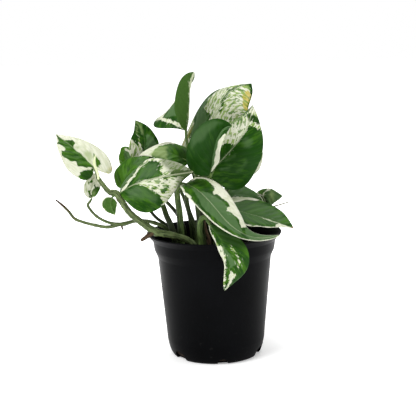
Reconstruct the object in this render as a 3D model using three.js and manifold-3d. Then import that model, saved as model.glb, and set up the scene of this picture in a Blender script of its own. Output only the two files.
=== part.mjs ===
// A variegated pothos in a black nursery pot.
// Millimetres. The origin is the centre of the pot's base, +Z is up and the fullest side faces -Y.
import * as THREE from "three";
import { mergeVertices } from "three/addons/utils/BufferGeometryUtils.js";
import Module from "manifold-3d";

const wasm = await Module();
wasm.setup();

// Pot
const BASE_RADIUS = 35.2;
const WALL_FOOT_RADIUS = 39.8;
const WALL_TOP_RADIUS = 45.6;
const BAND_RADIUS = 49.3;
const LIP_RADIUS = 54;
const POT_HEIGHT = 99.5;
const WALL = 1.2;
const FLOOR = 1.5;
const POT_SIDES = 40;
const NOTCH_COUNT = 3;
const NOTCH_START = 98; // degrees from +X, the first large drain notch
const BIG_NOTCH = { width: 12, height: 7 };
const SMALL_NOTCH = { width: 8, height: 4 };

// Soil
const SOIL_TOP = 83;
const SOIL_SWELL = 1.5;
const ROUGHNESS = 0.6;
const SEAT = 0.3; // gap between pieces that touch

// Stalks
const STEM_DEPTH = 76; // height of the buried end of a stem
const STEPS_PER_POINT = 1.6; // rings of a stalk for each point of its path
const THREAD = 0.1; // radius of a stalk's section before its corners move out

// Leaves
const BLADE_THICKNESS = 0.7;
const BLADE_STEPS = 10; // along the midrib
const HALF_STEPS = 3; // from the midrib to each margin
const PETIOLE_SIDES = 5;
const PETIOLE_RADIUS = 1.3;
const PETIOLE_END_RADIUS = 0.5;
const TAPER = 0.7; // a petiole's radius at the leaf as a share of its radius at the foot

// Colours
const POT_BLACK = 0x1b1c1e;
const SOIL_BROWN = 0x1d1713;
const LEAF_GREEN = 0x35602c;
const STEM_GREEN = 0x5b7441;
const DRY_BROWN = 0x4a3424;
const NEW_LEAF_CREAM = 0xdde3b8;

// Each leaf has its midrib as four points from base to tip, the way its upper face looks at base and tip
// (degrees round from -Y toward +X, and up), and for its left and right halves the half-width, the fold out
// of the flat at base and tip, the curl and the shape: where it is widest, how blunt it is, its base lobe.
// The petiole rises from the soil or the vine, and girth is its radius there, where it isn't the usual one.
const LEAVES = [
  {
    name: "leaf_heart",
    rib: [[-2, -21, 147], [0, -23, 162], [4, -28, 178], [15, -25, 186]],
    face: [[-12, 20], [-2, 28]],
    half: [20.5, 17], fold: [[5, 20], [66, 52]], curl: [-10, -6],
    shape: [[0.88, 0.8, 1.8], [1.2, 1.05, 0.1]],
    girth: 2,
    petiole: [[-13, -14, 99], [-12, -14, 111], [-13, -13, 123], [-12, -14, 136], [-7, -15, 146]],
  },
  {
    name: "leaf_broad",
    rib: [[-3, -14, 146], [10, -10, 161], [24, -13, 178], [32, -2, 200]],
    face: [[10, 30], [12, 48]],
    half: [24, 28], fold: [[14, 8], [0, 0]], curl: [-20, -40],
    shape: [[0.72, 1, 1.3], [0.72, 1, 1.3]],
    girth: 2.1,
    petiole: [[-14, -8, 101], [-17, -8, 110], [-20, -8, 119], [-21, -8, 129], [-17, -9, 139], [-9, -11, 145]],
  },
  {
    name: "leaf_top",
    rib: [[-7, -1, 168], [2, 7, 190], [12, 6, 208], [32, 10, 216]],
    face: [[-22, 40], [10, 30]],
    half: [33, 30], fold: [[5, -50], [-5, 6]], curl: [-35, -10],
    shape: [[0.75, 1.05, 2.2], [0.8, 0.42, 0.8]],
    girth: 2,
    petiole: [[-9, -4, 97], [-10, -4, 125], [-9, -3, 150]],
  },
  {
    name: "leaf_folded",
    rib: [[-21, -4, 181], [-18, -4, 197], [-17, -4, 213], [-13, -2, 226]],
    face: [[-90, -20], [-90, 10]],
    half: [33, 16.5], fold: [[85, -15], [35, 40]], curl: [-6, 8],
    shape: [[0.7, 0.75, 3], [0.95, 0.75, 0.4]],
    girth: 1.5,
    petiole: [[-12, 3, 97], [-12, 3, 120], [-14, -3, 148], [-19, -3, 166]],
  },
  {
    name: "leaf_upright",
    rib: [[-57, 4, 156], [-54, 2, 169], [-55, 4, 179], [-61, 7, 189]],
    face: [[18, 15], [30, 9]],
    half: [14, 13], fold: [[15, 15], [10, 5]], curl: [0, -37],
    shape: [[0.8, 0.9, 1], [0.8, 0.9, 1]],
    girth: 2.6,
    petiole: [[-31, -19, 97], [-34, -19, 109], [-37, -18, 116], [-40, -14, 124], [-48, -6, 140]],
  },
  {
    name: "leaf_pale",
    rib: [[-19, -5, 156], [-30, -6, 163], [-43, -7, 166], [-58, -6, 162]],
    face: [[0, 52], [0, 55]],
    half: [13, 14], fold: [[10, 5], [10, 2]], curl: [-25, -28],
    shape: [[0.75, 1, 0.9], [0.75, 1, 0.9]],
    girth: 1.8,
    petiole: [[-8, -9, 97], [-8, -9, 120], [-12, -7, 142]],
  },
  {
    name: "leaf_left",
    rib: [[-70, -26, 139], [-67, -20, 147], [-62, -17, 155], [-49, -12, 162]],
    face: [[-25, 25], [-20, 28]],
    half: [14, 13], fold: [[0, 0], [10, 10]], curl: [-28, -20],
    shape: [[0.85, 0.9, 0.2], [0.85, 0.9, 0.2]],
    girth: 1.1,
    onVine: [[-71, -33, 135]],
  },
  {
    name: "leaf_low_left",
    rib: [[-71, -36, 137], [-54, -39, 146], [-35, -38, 150], [-15, -26, 151]],
    face: [[0, 55], [5, 10]],
    half: [20, 25], fold: [[0, 5], [8, -14]], curl: [-35, -48],
    shape: [[0.85, 0.75, 0.8], [0.78, 0.95, 0.8]],
    girth: 1.1,
    onVine: [[-72, -35, 136]],
  },
  {
    name: "leaf_behind_left",
    rib: [[-62, 12, 149], [-66, 12, 155], [-70, 12, 162], [-74, 13, 166]],
    face: [[0, 15], [0, 15]],
    half: [9, 9], fold: [[10, 10], [10, 10]], curl: [-20, -20],
    shape: [[0.8, 0.8, 0.9], [0.8, 0.8, 0.9]],
    girth: 1.6,
    petiole: [[-30, 4, 97], [-37, 1, 104], [-48, 1, 113], [-58, 6, 130]],
  },
  {
    name: "leaf_far_left",
    rib: [[-90, -34, 156], [-99, -31, 166], [-109, -28, 174], [-120, -23, 182]],
    face: [[25, 25], [30, 30]],
    half: [20, 16.5], fold: [[15, 10], [0, 10]], curl: [0, -30],
    shape: [[0.82, 1.2, 3], [0.82, 1.05, 3.8]],
    girth: 1.1,
    onVine: [[-88, -34, 151]],
  },
  {
    name: "leaf_young",
    rib: [[-94, -27, 132], [-94, -26, 138], [-93, -23, 144], [-92, -20, 151]],
    face: [[-5, 15], [0, 10]],
    half: [6.5, 7.5], fold: [[30, 30], [30, 30]], curl: [-20, -20],
    shape: [[0.9, 0.9, 0.5], [0.9, 0.9, 0.5]],
    girth: 1,
    onVine: [[-95, -27, 130]],
  },
  {
    name: "leaf_small_under",
    rib: [[-77, -37, 134], [-78, -38, 129], [-77, -38, 125], [-75, -37, 120]],
    face: [[180, 0], [180, 0]],
    half: [7, 5], fold: [[10, 10], [10, 10]], curl: [-10, -10],
    shape: [[0.75, 1, 0.9], [0.75, 1, 0.9]],
    girth: 1.1,
    onVine: [[-75, -36, 136]],
  },
  {
    name: "leaf_arching",
    rib: [[-22, -23, 141], [-2, -48, 130], [18, -60, 111], [50, -44, 104]],
    face: [[25, 62], [13, 66]],
    half: [18, 16], fold: [[24, 8], [14, 17]], curl: [-20, -6],
    shape: [[0.7, 0.8, 1.4], [0.7, 0.8, 0.4]],
    girth: 2.8,
    petiole: [[-26, -15, 100], [-27, -15, 119], [-28, -15, 128], [-28, -17, 136], [-25, -20, 140]],
  },
  {
    name: "leaf_hanging",
    rib: [[-4, -47, 116], [5, -62, 103], [12, -67, 87], [7, -69, 68]],
    face: [[5, -10], [0, -45]],
    half: [15, 7], fold: [[20, -10], [0, -25]], curl: [-20, -30],
    shape: [[1.15, 1.1, 0], [1.3, 0.5, 0]],
    girth: 2.4,
    petiole: [[-10, -34, 98], [-11, -36, 107], [-10, -38, 115], [-8, -41, 118], [-5, -44, 118]],
  },
  {
    name: "leaf_right",
    rib: [[8, -8, 119], [27, -4, 114], [45, -3, 108], [63, -8, 102]],
    face: [[0, 58], [16, 55]],
    half: [21, 18], fold: [[0, 15], [2, 27]], curl: [-18, 0],
    shape: [[0.8, 0.8, 0.2], [0.8, 0.8, 0.2]],
    girth: 1.9,
    petiole: [[1, -8, 97], [1, -9, 108], [3, -9, 115]],
  },
  {
    name: "leaf_right_behind",
    rib: [[7, 20, 122], [18, 18, 126], [30, 20, 124], [42, 22, 118]],
    face: [[12, 52], [19, 46]],
    half: [14, 12], fold: [[5, 5], [5, 5]], curl: [-18, -20],
    shape: [[0.72, 1, 1], [0.72, 1, 1]],
    petiole: [[-2, 12, 97], [-2, 14, 112]],
  },
  {
    name: "leaf_curled",
    rib: [[37, 30, 117], [40, 28, 122], [46, 26, 125], [57, 24, 123]],
    face: [[0, 40], [0, 30]],
    half: [6, 15], fold: [[10, 10], [0, 0]], curl: [-20, -40],
    shape: [[0.8, 0.8, 0.4], [0.8, 0.6, 0.4]],
    petiole: [[10, 20, 97], [16, 26, 106], [27, 31, 113]],
  },
  {
    name: "leaf_behind_right",
    rib: [[27, 20, 142], [31, 21, 154], [33, 22, 165], [32, 22, 180]],
    face: [[10, 10], [10, 10]],
    half: [12, 10], fold: [[8, 8], [8, 8]], curl: [-20, -20],
    shape: [[0.75, 1, 0.9], [0.75, 1, 0.9]],
    petiole: [[4, 10, 97], [4, 12, 115], [14, 14, 133]],
  },
  {
    name: "leaf_back_left",
    rib: [[-36, 26, 140], [-47, 34, 145], [-57, 42, 143], [-65, 50, 136]],
    face: [[150, 60], [190, 50]],
    half: [17, 17], fold: [[12, 8], [12, 8]], curl: [-30, -30],
    shape: [[0.72, 1, 1.3], [0.72, 1, 1.3]],
    girth: 1.8,
    petiole: [[-18, 8, 97], [-21, 12, 115], [-28, 20, 132]],
  },
  {
    name: "leaf_back_high_left",
    rib: [[-20, 22, 152], [-26, 33, 158], [-31, 45, 159], [-34, 56, 153]],
    face: [[180, 55], [180, 40]],
    half: [16, 16], fold: [[12, 8], [12, 8]], curl: [-30, -30],
    shape: [[0.72, 1, 1.3], [0.72, 1, 1.3]],
    petiole: [[-12, 12, 97], [-13, 14, 120], [-16, 18, 142]],
  },
  {
    name: "leaf_back_high",
    rib: [[2, 18, 168], [5, 26, 178], [8, 32, 189], [11, 33, 200]],
    face: [[175, 20], [180, 10]],
    half: [16, 17], fold: [[14, 8], [14, 8]], curl: [-25, -25],
    shape: [[0.72, 1, 1.3], [0.72, 1, 1.3]],
    petiole: [[-4, 6, 97], [-3, 8, 125], [0, 13, 155]],
  },
  {
    name: "leaf_back_middle",
    rib: [[2, 34, 138], [4, 48, 141], [7, 62, 136], [10, 74, 124]],
    face: [[180, 65], [180, 35]],
    half: [19, 19], fold: [[12, 6], [12, 6]], curl: [-30, -30],
    shape: [[0.72, 1, 1.3], [0.72, 1, 1.3]],
    petiole: [[-4, 18, 97], [-3, 21, 118], [0, 28, 134]],
  },
  {
    name: "leaf_back_right",
    rib: [[20, 39, 116], [32, 50, 118], [42, 61, 113], [50, 70, 102]],
    face: [[150, 60], [145, 45]],
    half: [16, 16], fold: [[10, 6], [10, 6]], curl: [-30, -30],
    shape: [[0.72, 1, 1.3], [0.72, 1, 1.3]],
    petiole: [[6, 26, 97], [10, 31, 109]],
  },
  {
    name: "leaf_back_low_left",
    rib: [[-40, 22, 122], [-50, 30, 127], [-59, 38, 126], [-67, 46, 120]],
    face: [[200, 60], [195, 45]],
    half: [13, 13], fold: [[10, 6], [10, 6]], curl: [-25, -25],
    shape: [[0.72, 1, 1], [0.72, 1, 1]],
    girth: 2,
    petiole: [[-24, 10, 97], [-29, 14, 110]],
  },
  {
    name: "leaf_back_low_right",
    rib: [[16, 48, 112], [20, 60, 110], [24, 69, 101], [27, 74, 87]],
    face: [[170, 55], [165, 20]],
    half: [14, 14], fold: [[10, 6], [10, 6]], curl: [-25, -25],
    shape: [[0.72, 1, 1], [0.72, 1, 1]],
    petiole: [[2, 32, 97], [6, 38, 108]],
  },
];

// The thick vine that hangs over the rim at the left, from the soil to its leafy end
const VINE = {
  points: [
    [-12, -24, 84], [-17, -26, 95], [-23, -27, 99], [-32, -28, 102], [-40, -29, 104], [-46, -30, 106],
    [-54, -31, 112], [-64, -33, 121], [-71, -34, 132], [-74, -35, 137], [-79, -35, 138], [-84, -35, 144],
    [-88, -34, 150],
  ],
  radii: [2.2, 2.5, 2.6, 2.7, 2.8, 3.1, 2.7, 2.5, 2.6, 2.6, 2, 1.8, 1.5],
};
const AERIAL_ROOT = { points: [[-46, -30, 106], [-51, -33, 103], [-56, -35, 100]], radii: [2.2, 1.8, 1.2] };

// The thin vine below it: one living end with the young leaf, one dried end and a short dead root
const THIN_VINE = {
  points: [
    [-28, -2, 92], [-33, -6, 98], [-39, -9, 105], [-51, -10, 110], [-62, -12, 111], [-73, -14, 109],
    [-82, -17, 111], [-90, -21, 116], [-95, -24, 122], [-97, -26, 127], [-95, -27, 130],
  ],
  radii: [1.5, 1.5, 1.5, 1.5, 1.5, 1.7, 1.2, 1.1, 1.1, 1.1, 1],
};
const DRIED_END = {
  points: [
    [-73, -14, 109], [-84, -14, 107], [-94, -15, 109], [-103, -17, 112], [-109, -18, 115],
    [-113, -20, 121], [-117, -22, 126], [-122, -24, 131],
  ],
  radii: [1.5, 1.4, 1.3, 1.2, 1.2, 1.1, 1, 0.6],
};
const DEAD_ROOT = { points: [[-73, -14, 109], [-72, -15, 105]], radii: [0.9, 0.7] };

// Lone stalks: a rolled new leaf and two dried petioles
const NEW_LEAF = {
  points: [[-87, -35, 148], [-87, -37, 152], [-89, -40, 161], [-88, -40, 167]],
  radii: [0.9, 1, 1.2, 0.4],
};
const DRY_SHEATH = {
  points: [[-4, -30, 84], [-4, -32, 99], [-6, -33, 106], [-7, -34, 114]],
  radii: [1.4, 1.4, 1, 0.5],
};
const DRY_STALK = {
  points: [[16, 26, 84], [18, 29, 100], [28, 24, 108], [44, 18, 114], [61, 17, 119]],
  radii: [0.8, 0.8, 0.7, 0.6, 0.4],
};

const vector = (p) => new THREE.Vector3(p[0], p[1], p[2]);
const degrees = THREE.MathUtils.degToRad;
const pair = (range, t) => THREE.MathUtils.lerp(range[0], range[1], t);

// A direction from its azimuth (from -Y toward +X) and its elevation.
function direction([azimuth, elevation]) {
  const a = degrees(azimuth);
  const e = degrees(elevation);
  return new THREE.Vector3(Math.sin(a) * Math.cos(e), -Math.cos(a) * Math.cos(e), Math.sin(e));
}

// A solid from a closed geometry whose faces look outward.
function solid(geometry) {
  const bare = new THREE.BufferGeometry().setAttribute("position", geometry.getAttribute("position"));
  const { attributes, index } = mergeVertices(bare.setIndex(geometry.index), 0.001);
  const mesh = new wasm.Mesh({
    numProp: 3,
    vertProperties: attributes.position.array,
    triVerts: new Uint32Array(index.array),
  });
  return new wasm.Manifold(mesh);
}

// A solid turned from a profile of radius and height pairs that starts and ends on the axis.
function turned(profile, rise = () => 0) {
  const lathe = new THREE.LatheGeometry(profile.map(([r, z]) => new THREE.Vector2(r, z)), POT_SIDES);
  lathe.rotateX(Math.PI / 2);
  const at = lathe.attributes.position;
  for (let k = 0; k < at.count; k++) at.setZ(k, at.getZ(k) + rise(at.getX(k), at.getY(k), at.getZ(k)));
  return solid(lathe);
}

// A round stalk along a smooth path, with its own radius at each point and a flat cap at each end. A thin
// section is drawn along the path, and its corners then move out from the middle to the radius there.
function stalk(path, radii, sides, grow = 0) {
  const curve = new THREE.CatmullRomCurve3(path.map(vector), false, "centripetal");
  const corners = Array.from({ length: sides }, (_, k) => {
    const a = (2 * Math.PI * k) / sides;
    return new THREE.Vector2(THREAD * Math.cos(a), THREAD * Math.sin(a));
  });
  const steps = Math.round(path.length * STEPS_PER_POINT);
  const tube = new THREE.ExtrudeGeometry(new THREE.Shape(corners), { steps, extrudePath: curve });
  const rings = curve.getSpacedPoints(steps);
  const sizes = rings.map((_, ring) => {
    const place = curve.getUtoTmapping(ring / steps) * (path.length - 1);
    const k = Math.min(Math.floor(place), path.length - 2);
    return pair([radii[k], radii[k + 1]], place - k) + grow;
  });
  const at = tube.attributes.position;
  for (let k = 0; k < at.count; k++) {
    const corner = new THREE.Vector3().fromBufferAttribute(at, k);
    const distances = rings.map((centre) => centre.distanceTo(corner));
    const ring = distances.indexOf(Math.min(...distances));
    corner.sub(rings[ring]).setLength(sizes[ring]).add(rings[ring]);
    if (ring === 0) corner.addScaledVector(curve.getTangent(0), -grow);
    if (ring === steps) corner.addScaledVector(curve.getTangent(1), grow);
    at.setXYZ(k, corner.x, corner.y, corner.z);
  }
  return solid(tube);
}

// The midrib's point and direction at t: a cubic through four points, straight beyond its ends.
function ribAt(rib, t) {
  const knots = [0, 1 / 3, 2 / 3, 1];
  const value = (u) => {
    const p = new THREE.Vector3();
    for (let i = 0; i < 4; i++) {
      let weight = 1;
      for (let j = 0; j < 4; j++) {
        if (j !== i) weight *= (u - knots[j]) / (knots[i] - knots[j]);
      }
      p.addScaledVector(vector(rib[i]), weight);
    }
    return p;
  };
  const near = THREE.MathUtils.clamp(t, 0, 1);
  const before = Math.max(near - 0.001, 0);
  const after = Math.min(near + 0.001, 1);
  const slope = value(after).sub(value(before)).divideScalar(after - before);
  return { point: value(near).addScaledVector(slope, t - near), along: slope.normalize() };
}

// A point of a leaf's middle surface: t runs from base to tip, out from the midrib (0) to the margin (1).
function bladePoint(leaf, side, t, out) {
  const k = side < 0 ? 0 : 1;
  const [widest, bluntness, lobe] = leaf.shape[k];
  const station = t - lobe * t * (1 - t) ** 3 * out ** 1.5;
  const { point, along } = ribAt(leaf.rib, station);
  const s = THREE.MathUtils.clamp(station, 0, 1);
  const normal = direction(leaf.face[0]).lerp(direction(leaf.face[1]), s);
  normal.addScaledVector(along, -normal.dot(along)).normalize();
  const sideways = new THREE.Vector3().crossVectors(along, normal).multiplyScalar(side);
  const width = t < 1 ? leaf.half[k] * Math.sin(Math.PI * t ** widest) ** bluntness : 0;
  const fold = degrees(pair(leaf.fold[k], t));
  const curl = degrees(leaf.curl[k]);
  let lateral = out * Math.cos(fold);
  let raised = out * Math.sin(fold);
  if (curl !== 0) {
    lateral = (Math.sin(fold + curl * out) - Math.sin(fold)) / curl;
    raised = (Math.cos(fold) - Math.cos(fold + curl * out)) / curl;
  }
  return point.addScaledVector(sideways, width * lateral).addScaledVector(normal, width * raised);
}

// A solid of even thickness from an open sheet, half of it on each side.
function thickened(sheet, thickness) {
  const { index, attributes } = mergeVertices(sheet, 0.001);
  const count = attributes.position.count;
  const faces = [];
  for (let k = 0; k < index.count; k += 3) {
    const face = Array.from(index.array.slice(k, k + 3));
    if (new Set(face).size === 3) faces.push(face);
  }
  const merged = new THREE.BufferGeometry().setAttribute("position", attributes.position);
  merged.setIndex(faces.flat()).computeVertexNormals();
  const shifted = (k, reach) => {
    const normal = new THREE.Vector3().fromBufferAttribute(merged.attributes.normal, k);
    return new THREE.Vector3().fromBufferAttribute(attributes.position, k).addScaledVector(normal, reach);
  };
  const side = (reach) => Array.from({ length: count }, (_, k) => shifted(k, reach));
  const points = [...side(thickness / 2), ...side(-thickness / 2)];
  const triangles = faces.flatMap(([a, b, c]) => [a, b, c, a + count, c + count, b + count]);
  const edges = new Set(faces.flatMap(([a, b, c]) => [`${a} ${b}`, `${b} ${c}`, `${c} ${a}`]));
  for (const edge of edges) {
    const [a, b] = edge.split(" ").map(Number);
    if (!edges.has(`${b} ${a}`)) triangles.push(b, a, a + count, b, a + count, b + count);
  }
  return solid(new THREE.BufferGeometry().setFromPoints(points).setIndex(triangles));
}

// A leaf blade: a flat sheet whose points move onto the leaf's surface, closer together at base and tip.
function blade(leaf) {
  const sheet = new THREE.PlaneGeometry(2, 1, 2 * HALF_STEPS, BLADE_STEPS);
  const at = sheet.attributes.position;
  for (let k = 0; k < at.count; k++) {
    const x = at.getX(k);
    const u = at.getY(k) + 0.5;
    const t = 0.5 * u + 0.25 * (1 - Math.cos(Math.PI * u));
    const p = bladePoint(leaf, x < 0 ? -1 : 1, t, Math.abs(x));
    at.setXYZ(k, p.x, p.y, p.z);
  }
  sheet.deleteAttribute("uv");
  sheet.deleteAttribute("normal");
  return thickened(sheet, BLADE_THICKNESS);
}

// The path of a leaf's petiole: from the soil or the vine to the leaf's base, then on under its midrib.
function petiolePath(leaf) {
  const under = direction(leaf.face[0]).multiplyScalar(-0.4);
  const start = leaf.onVine ?? [[leaf.petiole[0][0], leaf.petiole[0][1], STEM_DEPTH], ...leaf.petiole];
  const ends = [0, 0.15].map((t) => ribAt(leaf.rib, t).point.add(under).toArray());
  return [...start, ...ends];
}

function petiole(leaf, grow = 0) {
  const path = petiolePath(leaf);
  const base = path.length - 2;
  const foot = leaf.girth ?? PETIOLE_RADIUS;
  const radii = path.map((_, k) => (k > base ? PETIOLE_END_RADIUS : pair([foot, foot * TAPER], k / base)));
  return stalk(path, radii, PETIOLE_SIDES, grow);
}

// A drain notch: an arch cut through the pot's lower corner.
function notch(angle, { width, height }) {
  const arch = new THREE.Shape();
  arch.moveTo(-width / 2, -1);
  arch.lineTo(width / 2, -1);
  arch.lineTo(width / 2, height * 0.4);
  arch.absellipse(0, height * 0.4, width / 2, height * 0.6, 0, Math.PI, false);
  const block = new THREE.ExtrudeGeometry(arch, { depth: 12, bevelEnabled: false, curveSegments: 8 });
  block.rotateX(Math.PI / 2);
  block.rotateZ(Math.PI / 2);
  block.translate(BASE_RADIUS - 3, 0, 0);
  block.rotateZ(degrees(angle));
  return solid(block);
}

function makePot() {
  const outside = [
    [0, 0], [BASE_RADIUS, 0], [36.6, 2.2], [37.6, 4.8], [38.5, 8], [39.4, 12.6], [WALL_FOOT_RADIUS, 17.9],
    [WALL_TOP_RADIUS, 80], [46.4, 81.8], [48.2, 85.9], [48.7, 89.2], [BAND_RADIUS, 93.5], [53, 97.6],
    [LIP_RADIUS, 98.6], [LIP_RADIUS, POT_HEIGHT],
  ];
  const inside = [
    [LIP_RADIUS - WALL, POT_HEIGHT], [BAND_RADIUS - WALL, 94.3], [48.7 - WALL, 89.4], [48.2 - WALL, 86.3],
    [46.4 - WALL, 82.2], [WALL_TOP_RADIUS - WALL, 80.2], [WALL_FOOT_RADIUS - WALL, 18],
    [38.5 - WALL, 8.2], [36.6 - WALL, 3.4], [BASE_RADIUS - WALL, FLOOR], [0, FLOOR],
  ];
  let pot = turned([...outside, ...inside]);
  for (let k = 0; k < NOTCH_COUNT; k++) {
    const angle = NOTCH_START + (k * 360) / NOTCH_COUNT;
    pot = pot.subtract(notch(angle, BIG_NOTCH)).subtract(notch(angle + 60, SMALL_NOTCH));
  }
  return pot;
}

function makeSoil(stems) {
  const inner = BASE_RADIUS - WALL - SEAT;
  const top = 46.2 - WALL - SEAT;
  const profile = [
    [0, FLOOR + SEAT], [inner, FLOOR + SEAT], [36.6 - WALL - SEAT, 3.6], [38.5 - WALL - SEAT, 8.3],
    [WALL_FOOT_RADIUS - WALL - SEAT, 18], [WALL_TOP_RADIUS - WALL - SEAT, 80.2],
    [top, 81.9], [42, SOIL_TOP], [32, SOIL_TOP], [22, SOIL_TOP], [11, SOIL_TOP], [0, SOIL_TOP],
  ];
  const lumps = (x, y, z) => {
    if (z < SOIL_TOP - SEAT) return 0;
    const swell = SOIL_SWELL * (1 - (x * x + y * y) / 42 ** 2);
    return swell + ROUGHNESS * (Math.sin(0.41 * x + 1.3) * Math.cos(0.37 * y) + Math.sin(0.9 * x - 0.7 * y));
  };
  return stems.reduce((soil, stem) => soil.subtract(stem), turned(profile, lumps));
}

const root = new THREE.Group();

function add(name, body, color, roughness) {
  const { vertProperties, triVerts, numProp } = body.getMesh();
  const positions = [];
  for (const v of triVerts) {
    positions.push(...vertProperties.subarray(v * numProp, v * numProp + 3));
  }
  const geometry = new THREE.BufferGeometry();
  geometry.setAttribute("position", new THREE.Float32BufferAttribute(positions, 3));
  geometry.computeVertexNormals();
  const material = new THREE.MeshStandardMaterial({ color, roughness, metalness: 0 });
  const mesh = new THREE.Mesh(geometry, material);
  mesh.name = name;
  root.add(mesh);
}

const line = ({ points, radii }, sides, grow = 0) => stalk(points, radii, sides, grow);
const buried = ({ points, radii }) => ({
  points: [[points[0][0], points[0][1], STEM_DEPTH], ...points],
  radii: [radii[0], ...radii],
});

const vine = (grow) => line(buried(VINE), 8, grow).add(line(AERIAL_ROOT, 6, grow));
const thinVine = (grow) =>
  line(buried(THIN_VINE), 6, grow).add(line(DRIED_END, 6, grow)).add(line(DEAD_ROOT, 5, grow));
const sheath = (grow) => line(buried(DRY_SHEATH), 5, grow);
const dryStalk = (grow) => line(buried(DRY_STALK), 5, grow);

const potted = LEAVES.filter((leaf) => leaf.petiole);
const holes = potted.map((leaf) => petiole(leaf, SEAT));
holes.push(vine(SEAT), thinVine(SEAT), sheath(SEAT), dryStalk(SEAT));

add("pot", makePot(), POT_BLACK, 0.45);
add("soil", makeSoil(holes), SOIL_BROWN, 0.95);
add("vine", vine(0), STEM_GREEN, 0.5);
add("thin_vine", thinVine(0), STEM_GREEN, 0.55);
add("dry_sheath", sheath(0), DRY_BROWN, 0.8);
add("dry_stalk", dryStalk(0), DRY_BROWN, 0.8);
add("new_leaf", line(NEW_LEAF, 6).subtract(vine(SEAT)), NEW_LEAF_CREAM, 0.5);
for (const leaf of LEAVES) {
  let body = blade(leaf).add(petiole(leaf));
  if (leaf.onVine) body = body.subtract(vine(SEAT)).subtract(thinVine(SEAT));
  add(leaf.name, body, LEAF_GREEN, 0.4);
}

export default root;
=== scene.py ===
"""A variegated pothos in a black nursery pot, dressed for a studio picture.

Everything is in metres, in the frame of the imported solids: the origin is the centre of the pot's base, +Z is
up and the fullest side of the plant faces -Y. The tables hold millimetres and degrees, and MM turns
millimetres into metres.
"""

import math

import bmesh
import bpy
import numpy as np
from mathutils import Matrix, Vector


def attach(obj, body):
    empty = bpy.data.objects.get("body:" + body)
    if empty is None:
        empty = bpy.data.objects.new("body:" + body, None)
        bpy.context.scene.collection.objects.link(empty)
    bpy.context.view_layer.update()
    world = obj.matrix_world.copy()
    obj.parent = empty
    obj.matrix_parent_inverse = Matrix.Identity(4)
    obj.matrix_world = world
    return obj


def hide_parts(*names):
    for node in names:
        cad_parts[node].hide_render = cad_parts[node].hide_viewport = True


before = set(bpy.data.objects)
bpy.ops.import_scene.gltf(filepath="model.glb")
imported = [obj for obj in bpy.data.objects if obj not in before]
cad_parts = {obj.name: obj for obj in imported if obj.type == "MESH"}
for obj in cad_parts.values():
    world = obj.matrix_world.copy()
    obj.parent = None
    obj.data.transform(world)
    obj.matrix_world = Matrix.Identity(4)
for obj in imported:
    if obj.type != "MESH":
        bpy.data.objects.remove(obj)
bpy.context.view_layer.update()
MM = 0.001

# Camera, at the photograph's viewing angle: metres, radians and lens millimetres
CAMERA_PLACE = (0.0, -0.750, 0.2455)
CAMERA_PITCH = 0.168
CAMERA_YAW = -0.006
CAMERA_ROLL = -0.020
CAMERA_LENS = 82.26
CAMERA_SENSOR = 36
CAMERA_NEAR = 0.01

# Studio, metres and watts. Each light has its place, its width and its power.
FLOOR_LEVEL = -0.0004
FLOOR_REACH = 14
FLOOR_SHADOW_REACH = 0.05
FLOOR_GLOW_REACH = 0.30
FLOOR_GLOW = (0.3, 1.0)  # the floor's own glow beside the pot and further away
AMBIENT = 0.44
LIGHT_TARGET = (0, 0, 0.14)
LIGHTS = {
    "key": ((-1.0, -0.9, 1.5), 0.9, 25),
    "fill": ((1.4, -0.5, 0.8), 1.0, 6),
    "top": ((0.1, 0.4, 1.9), 1.2, 25),
}

# Pot, millimetres and degrees
BASE_RADIUS = 35.2
FOOT_LOW_RADIUS = 36.6
FOOT_HIGH_RADIUS = 38.5
WALL_FOOT_RADIUS = 39.8
WALL_TOP_RADIUS = 45.6
STEP_LOW_RADIUS = 46.4
STEP_HIGH_RADIUS = 48.2
BAND_FOOT_RADIUS = 48.7
BAND_RADIUS = 49.3
LIP_RADIUS = 54.0
POT_HEIGHT = 99.5
WALL = 1.2
FLOOR = 1.5
POT_SIDES = 144
POT_ROUND = 0.5
SHARP_ANGLE = 38
NOTCH_COUNT = 3
NOTCH_START = 98
BIG_NOTCH = (12, 7)
SMALL_NOTCH = (8, 4)
NOTCH_STRAIGHT = 0.4  # the share of a notch's height below its round top
NOTCH_ARC_STEPS = 12
NOTCH_DEPTH = (-3, 9)  # how far a notch's cutter reaches in and out of the pot's base

# Soil, millimetres. Each kind of crumb has its number, its smallest and its largest size.
SOIL_TOP = 83.0
SOIL_SWELL = 1.5
SOIL_DOME = 42
SOIL_RADIUS = 44.6
SOIL_GAP = 1.5  # from the pot's outside to the soil
SOIL_FLOOR = 1.8
SOIL_SIDES = 120
SOIL_RINGS = 44
SOIL_SEED = 11
STEM_DEPTH = 76.0
CRUMB_REACH = 43
CRUMB_SEAT = 0.15  # how high a crumb's middle lies over the soil, as a share of its size
CRUMB_ROUGHNESS = 0.09
CRUMBS = {"bark": (150, 1.2, 3.6), "perlite": (46, 0.7, 1.6), "grit": (16, 0.6, 1.2)}
CHIP = ([0.6, 0.35, 0.25], [1.0, 0.7, 0.5])  # the least and most that a chip of bark is stretched
PEBBLE = (0.6, 1, 3)  # the same for each of the three ways of the other crumbs

# Leaves, millimetres and shares
BLADE_THICKNESS = 0.5
MARGIN_THINNING = 0.75
BLADE_STEPS = 60
HALF_STEPS = 18
MARGIN_RIPPLE = 0.45
LONG_WAVE = 0.22
SHORT_WAVE = 0.12
VEIN_QUILT = 0.16  # how far the blade rises between two side veins
RIB_WIDTH = 0.9
RIB_GROOVE = 0.35
RIB_RIDGE = 0.45
VEIN_SPACING = 6.0
VEIN_SLANT = 1.2  # how far a side vein runs toward the tip for each millimetre away from the midrib
STROKE_SLANT = 1.5  # the same for the small flecks in the cream
FAR_OUTSIDE = 9.0  # a point's depth in a patch that isn't there
LEAST_WIDTH = 0.02  # of the blade near its ends, where patches are measured
RIB_STEPS = 40

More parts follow.
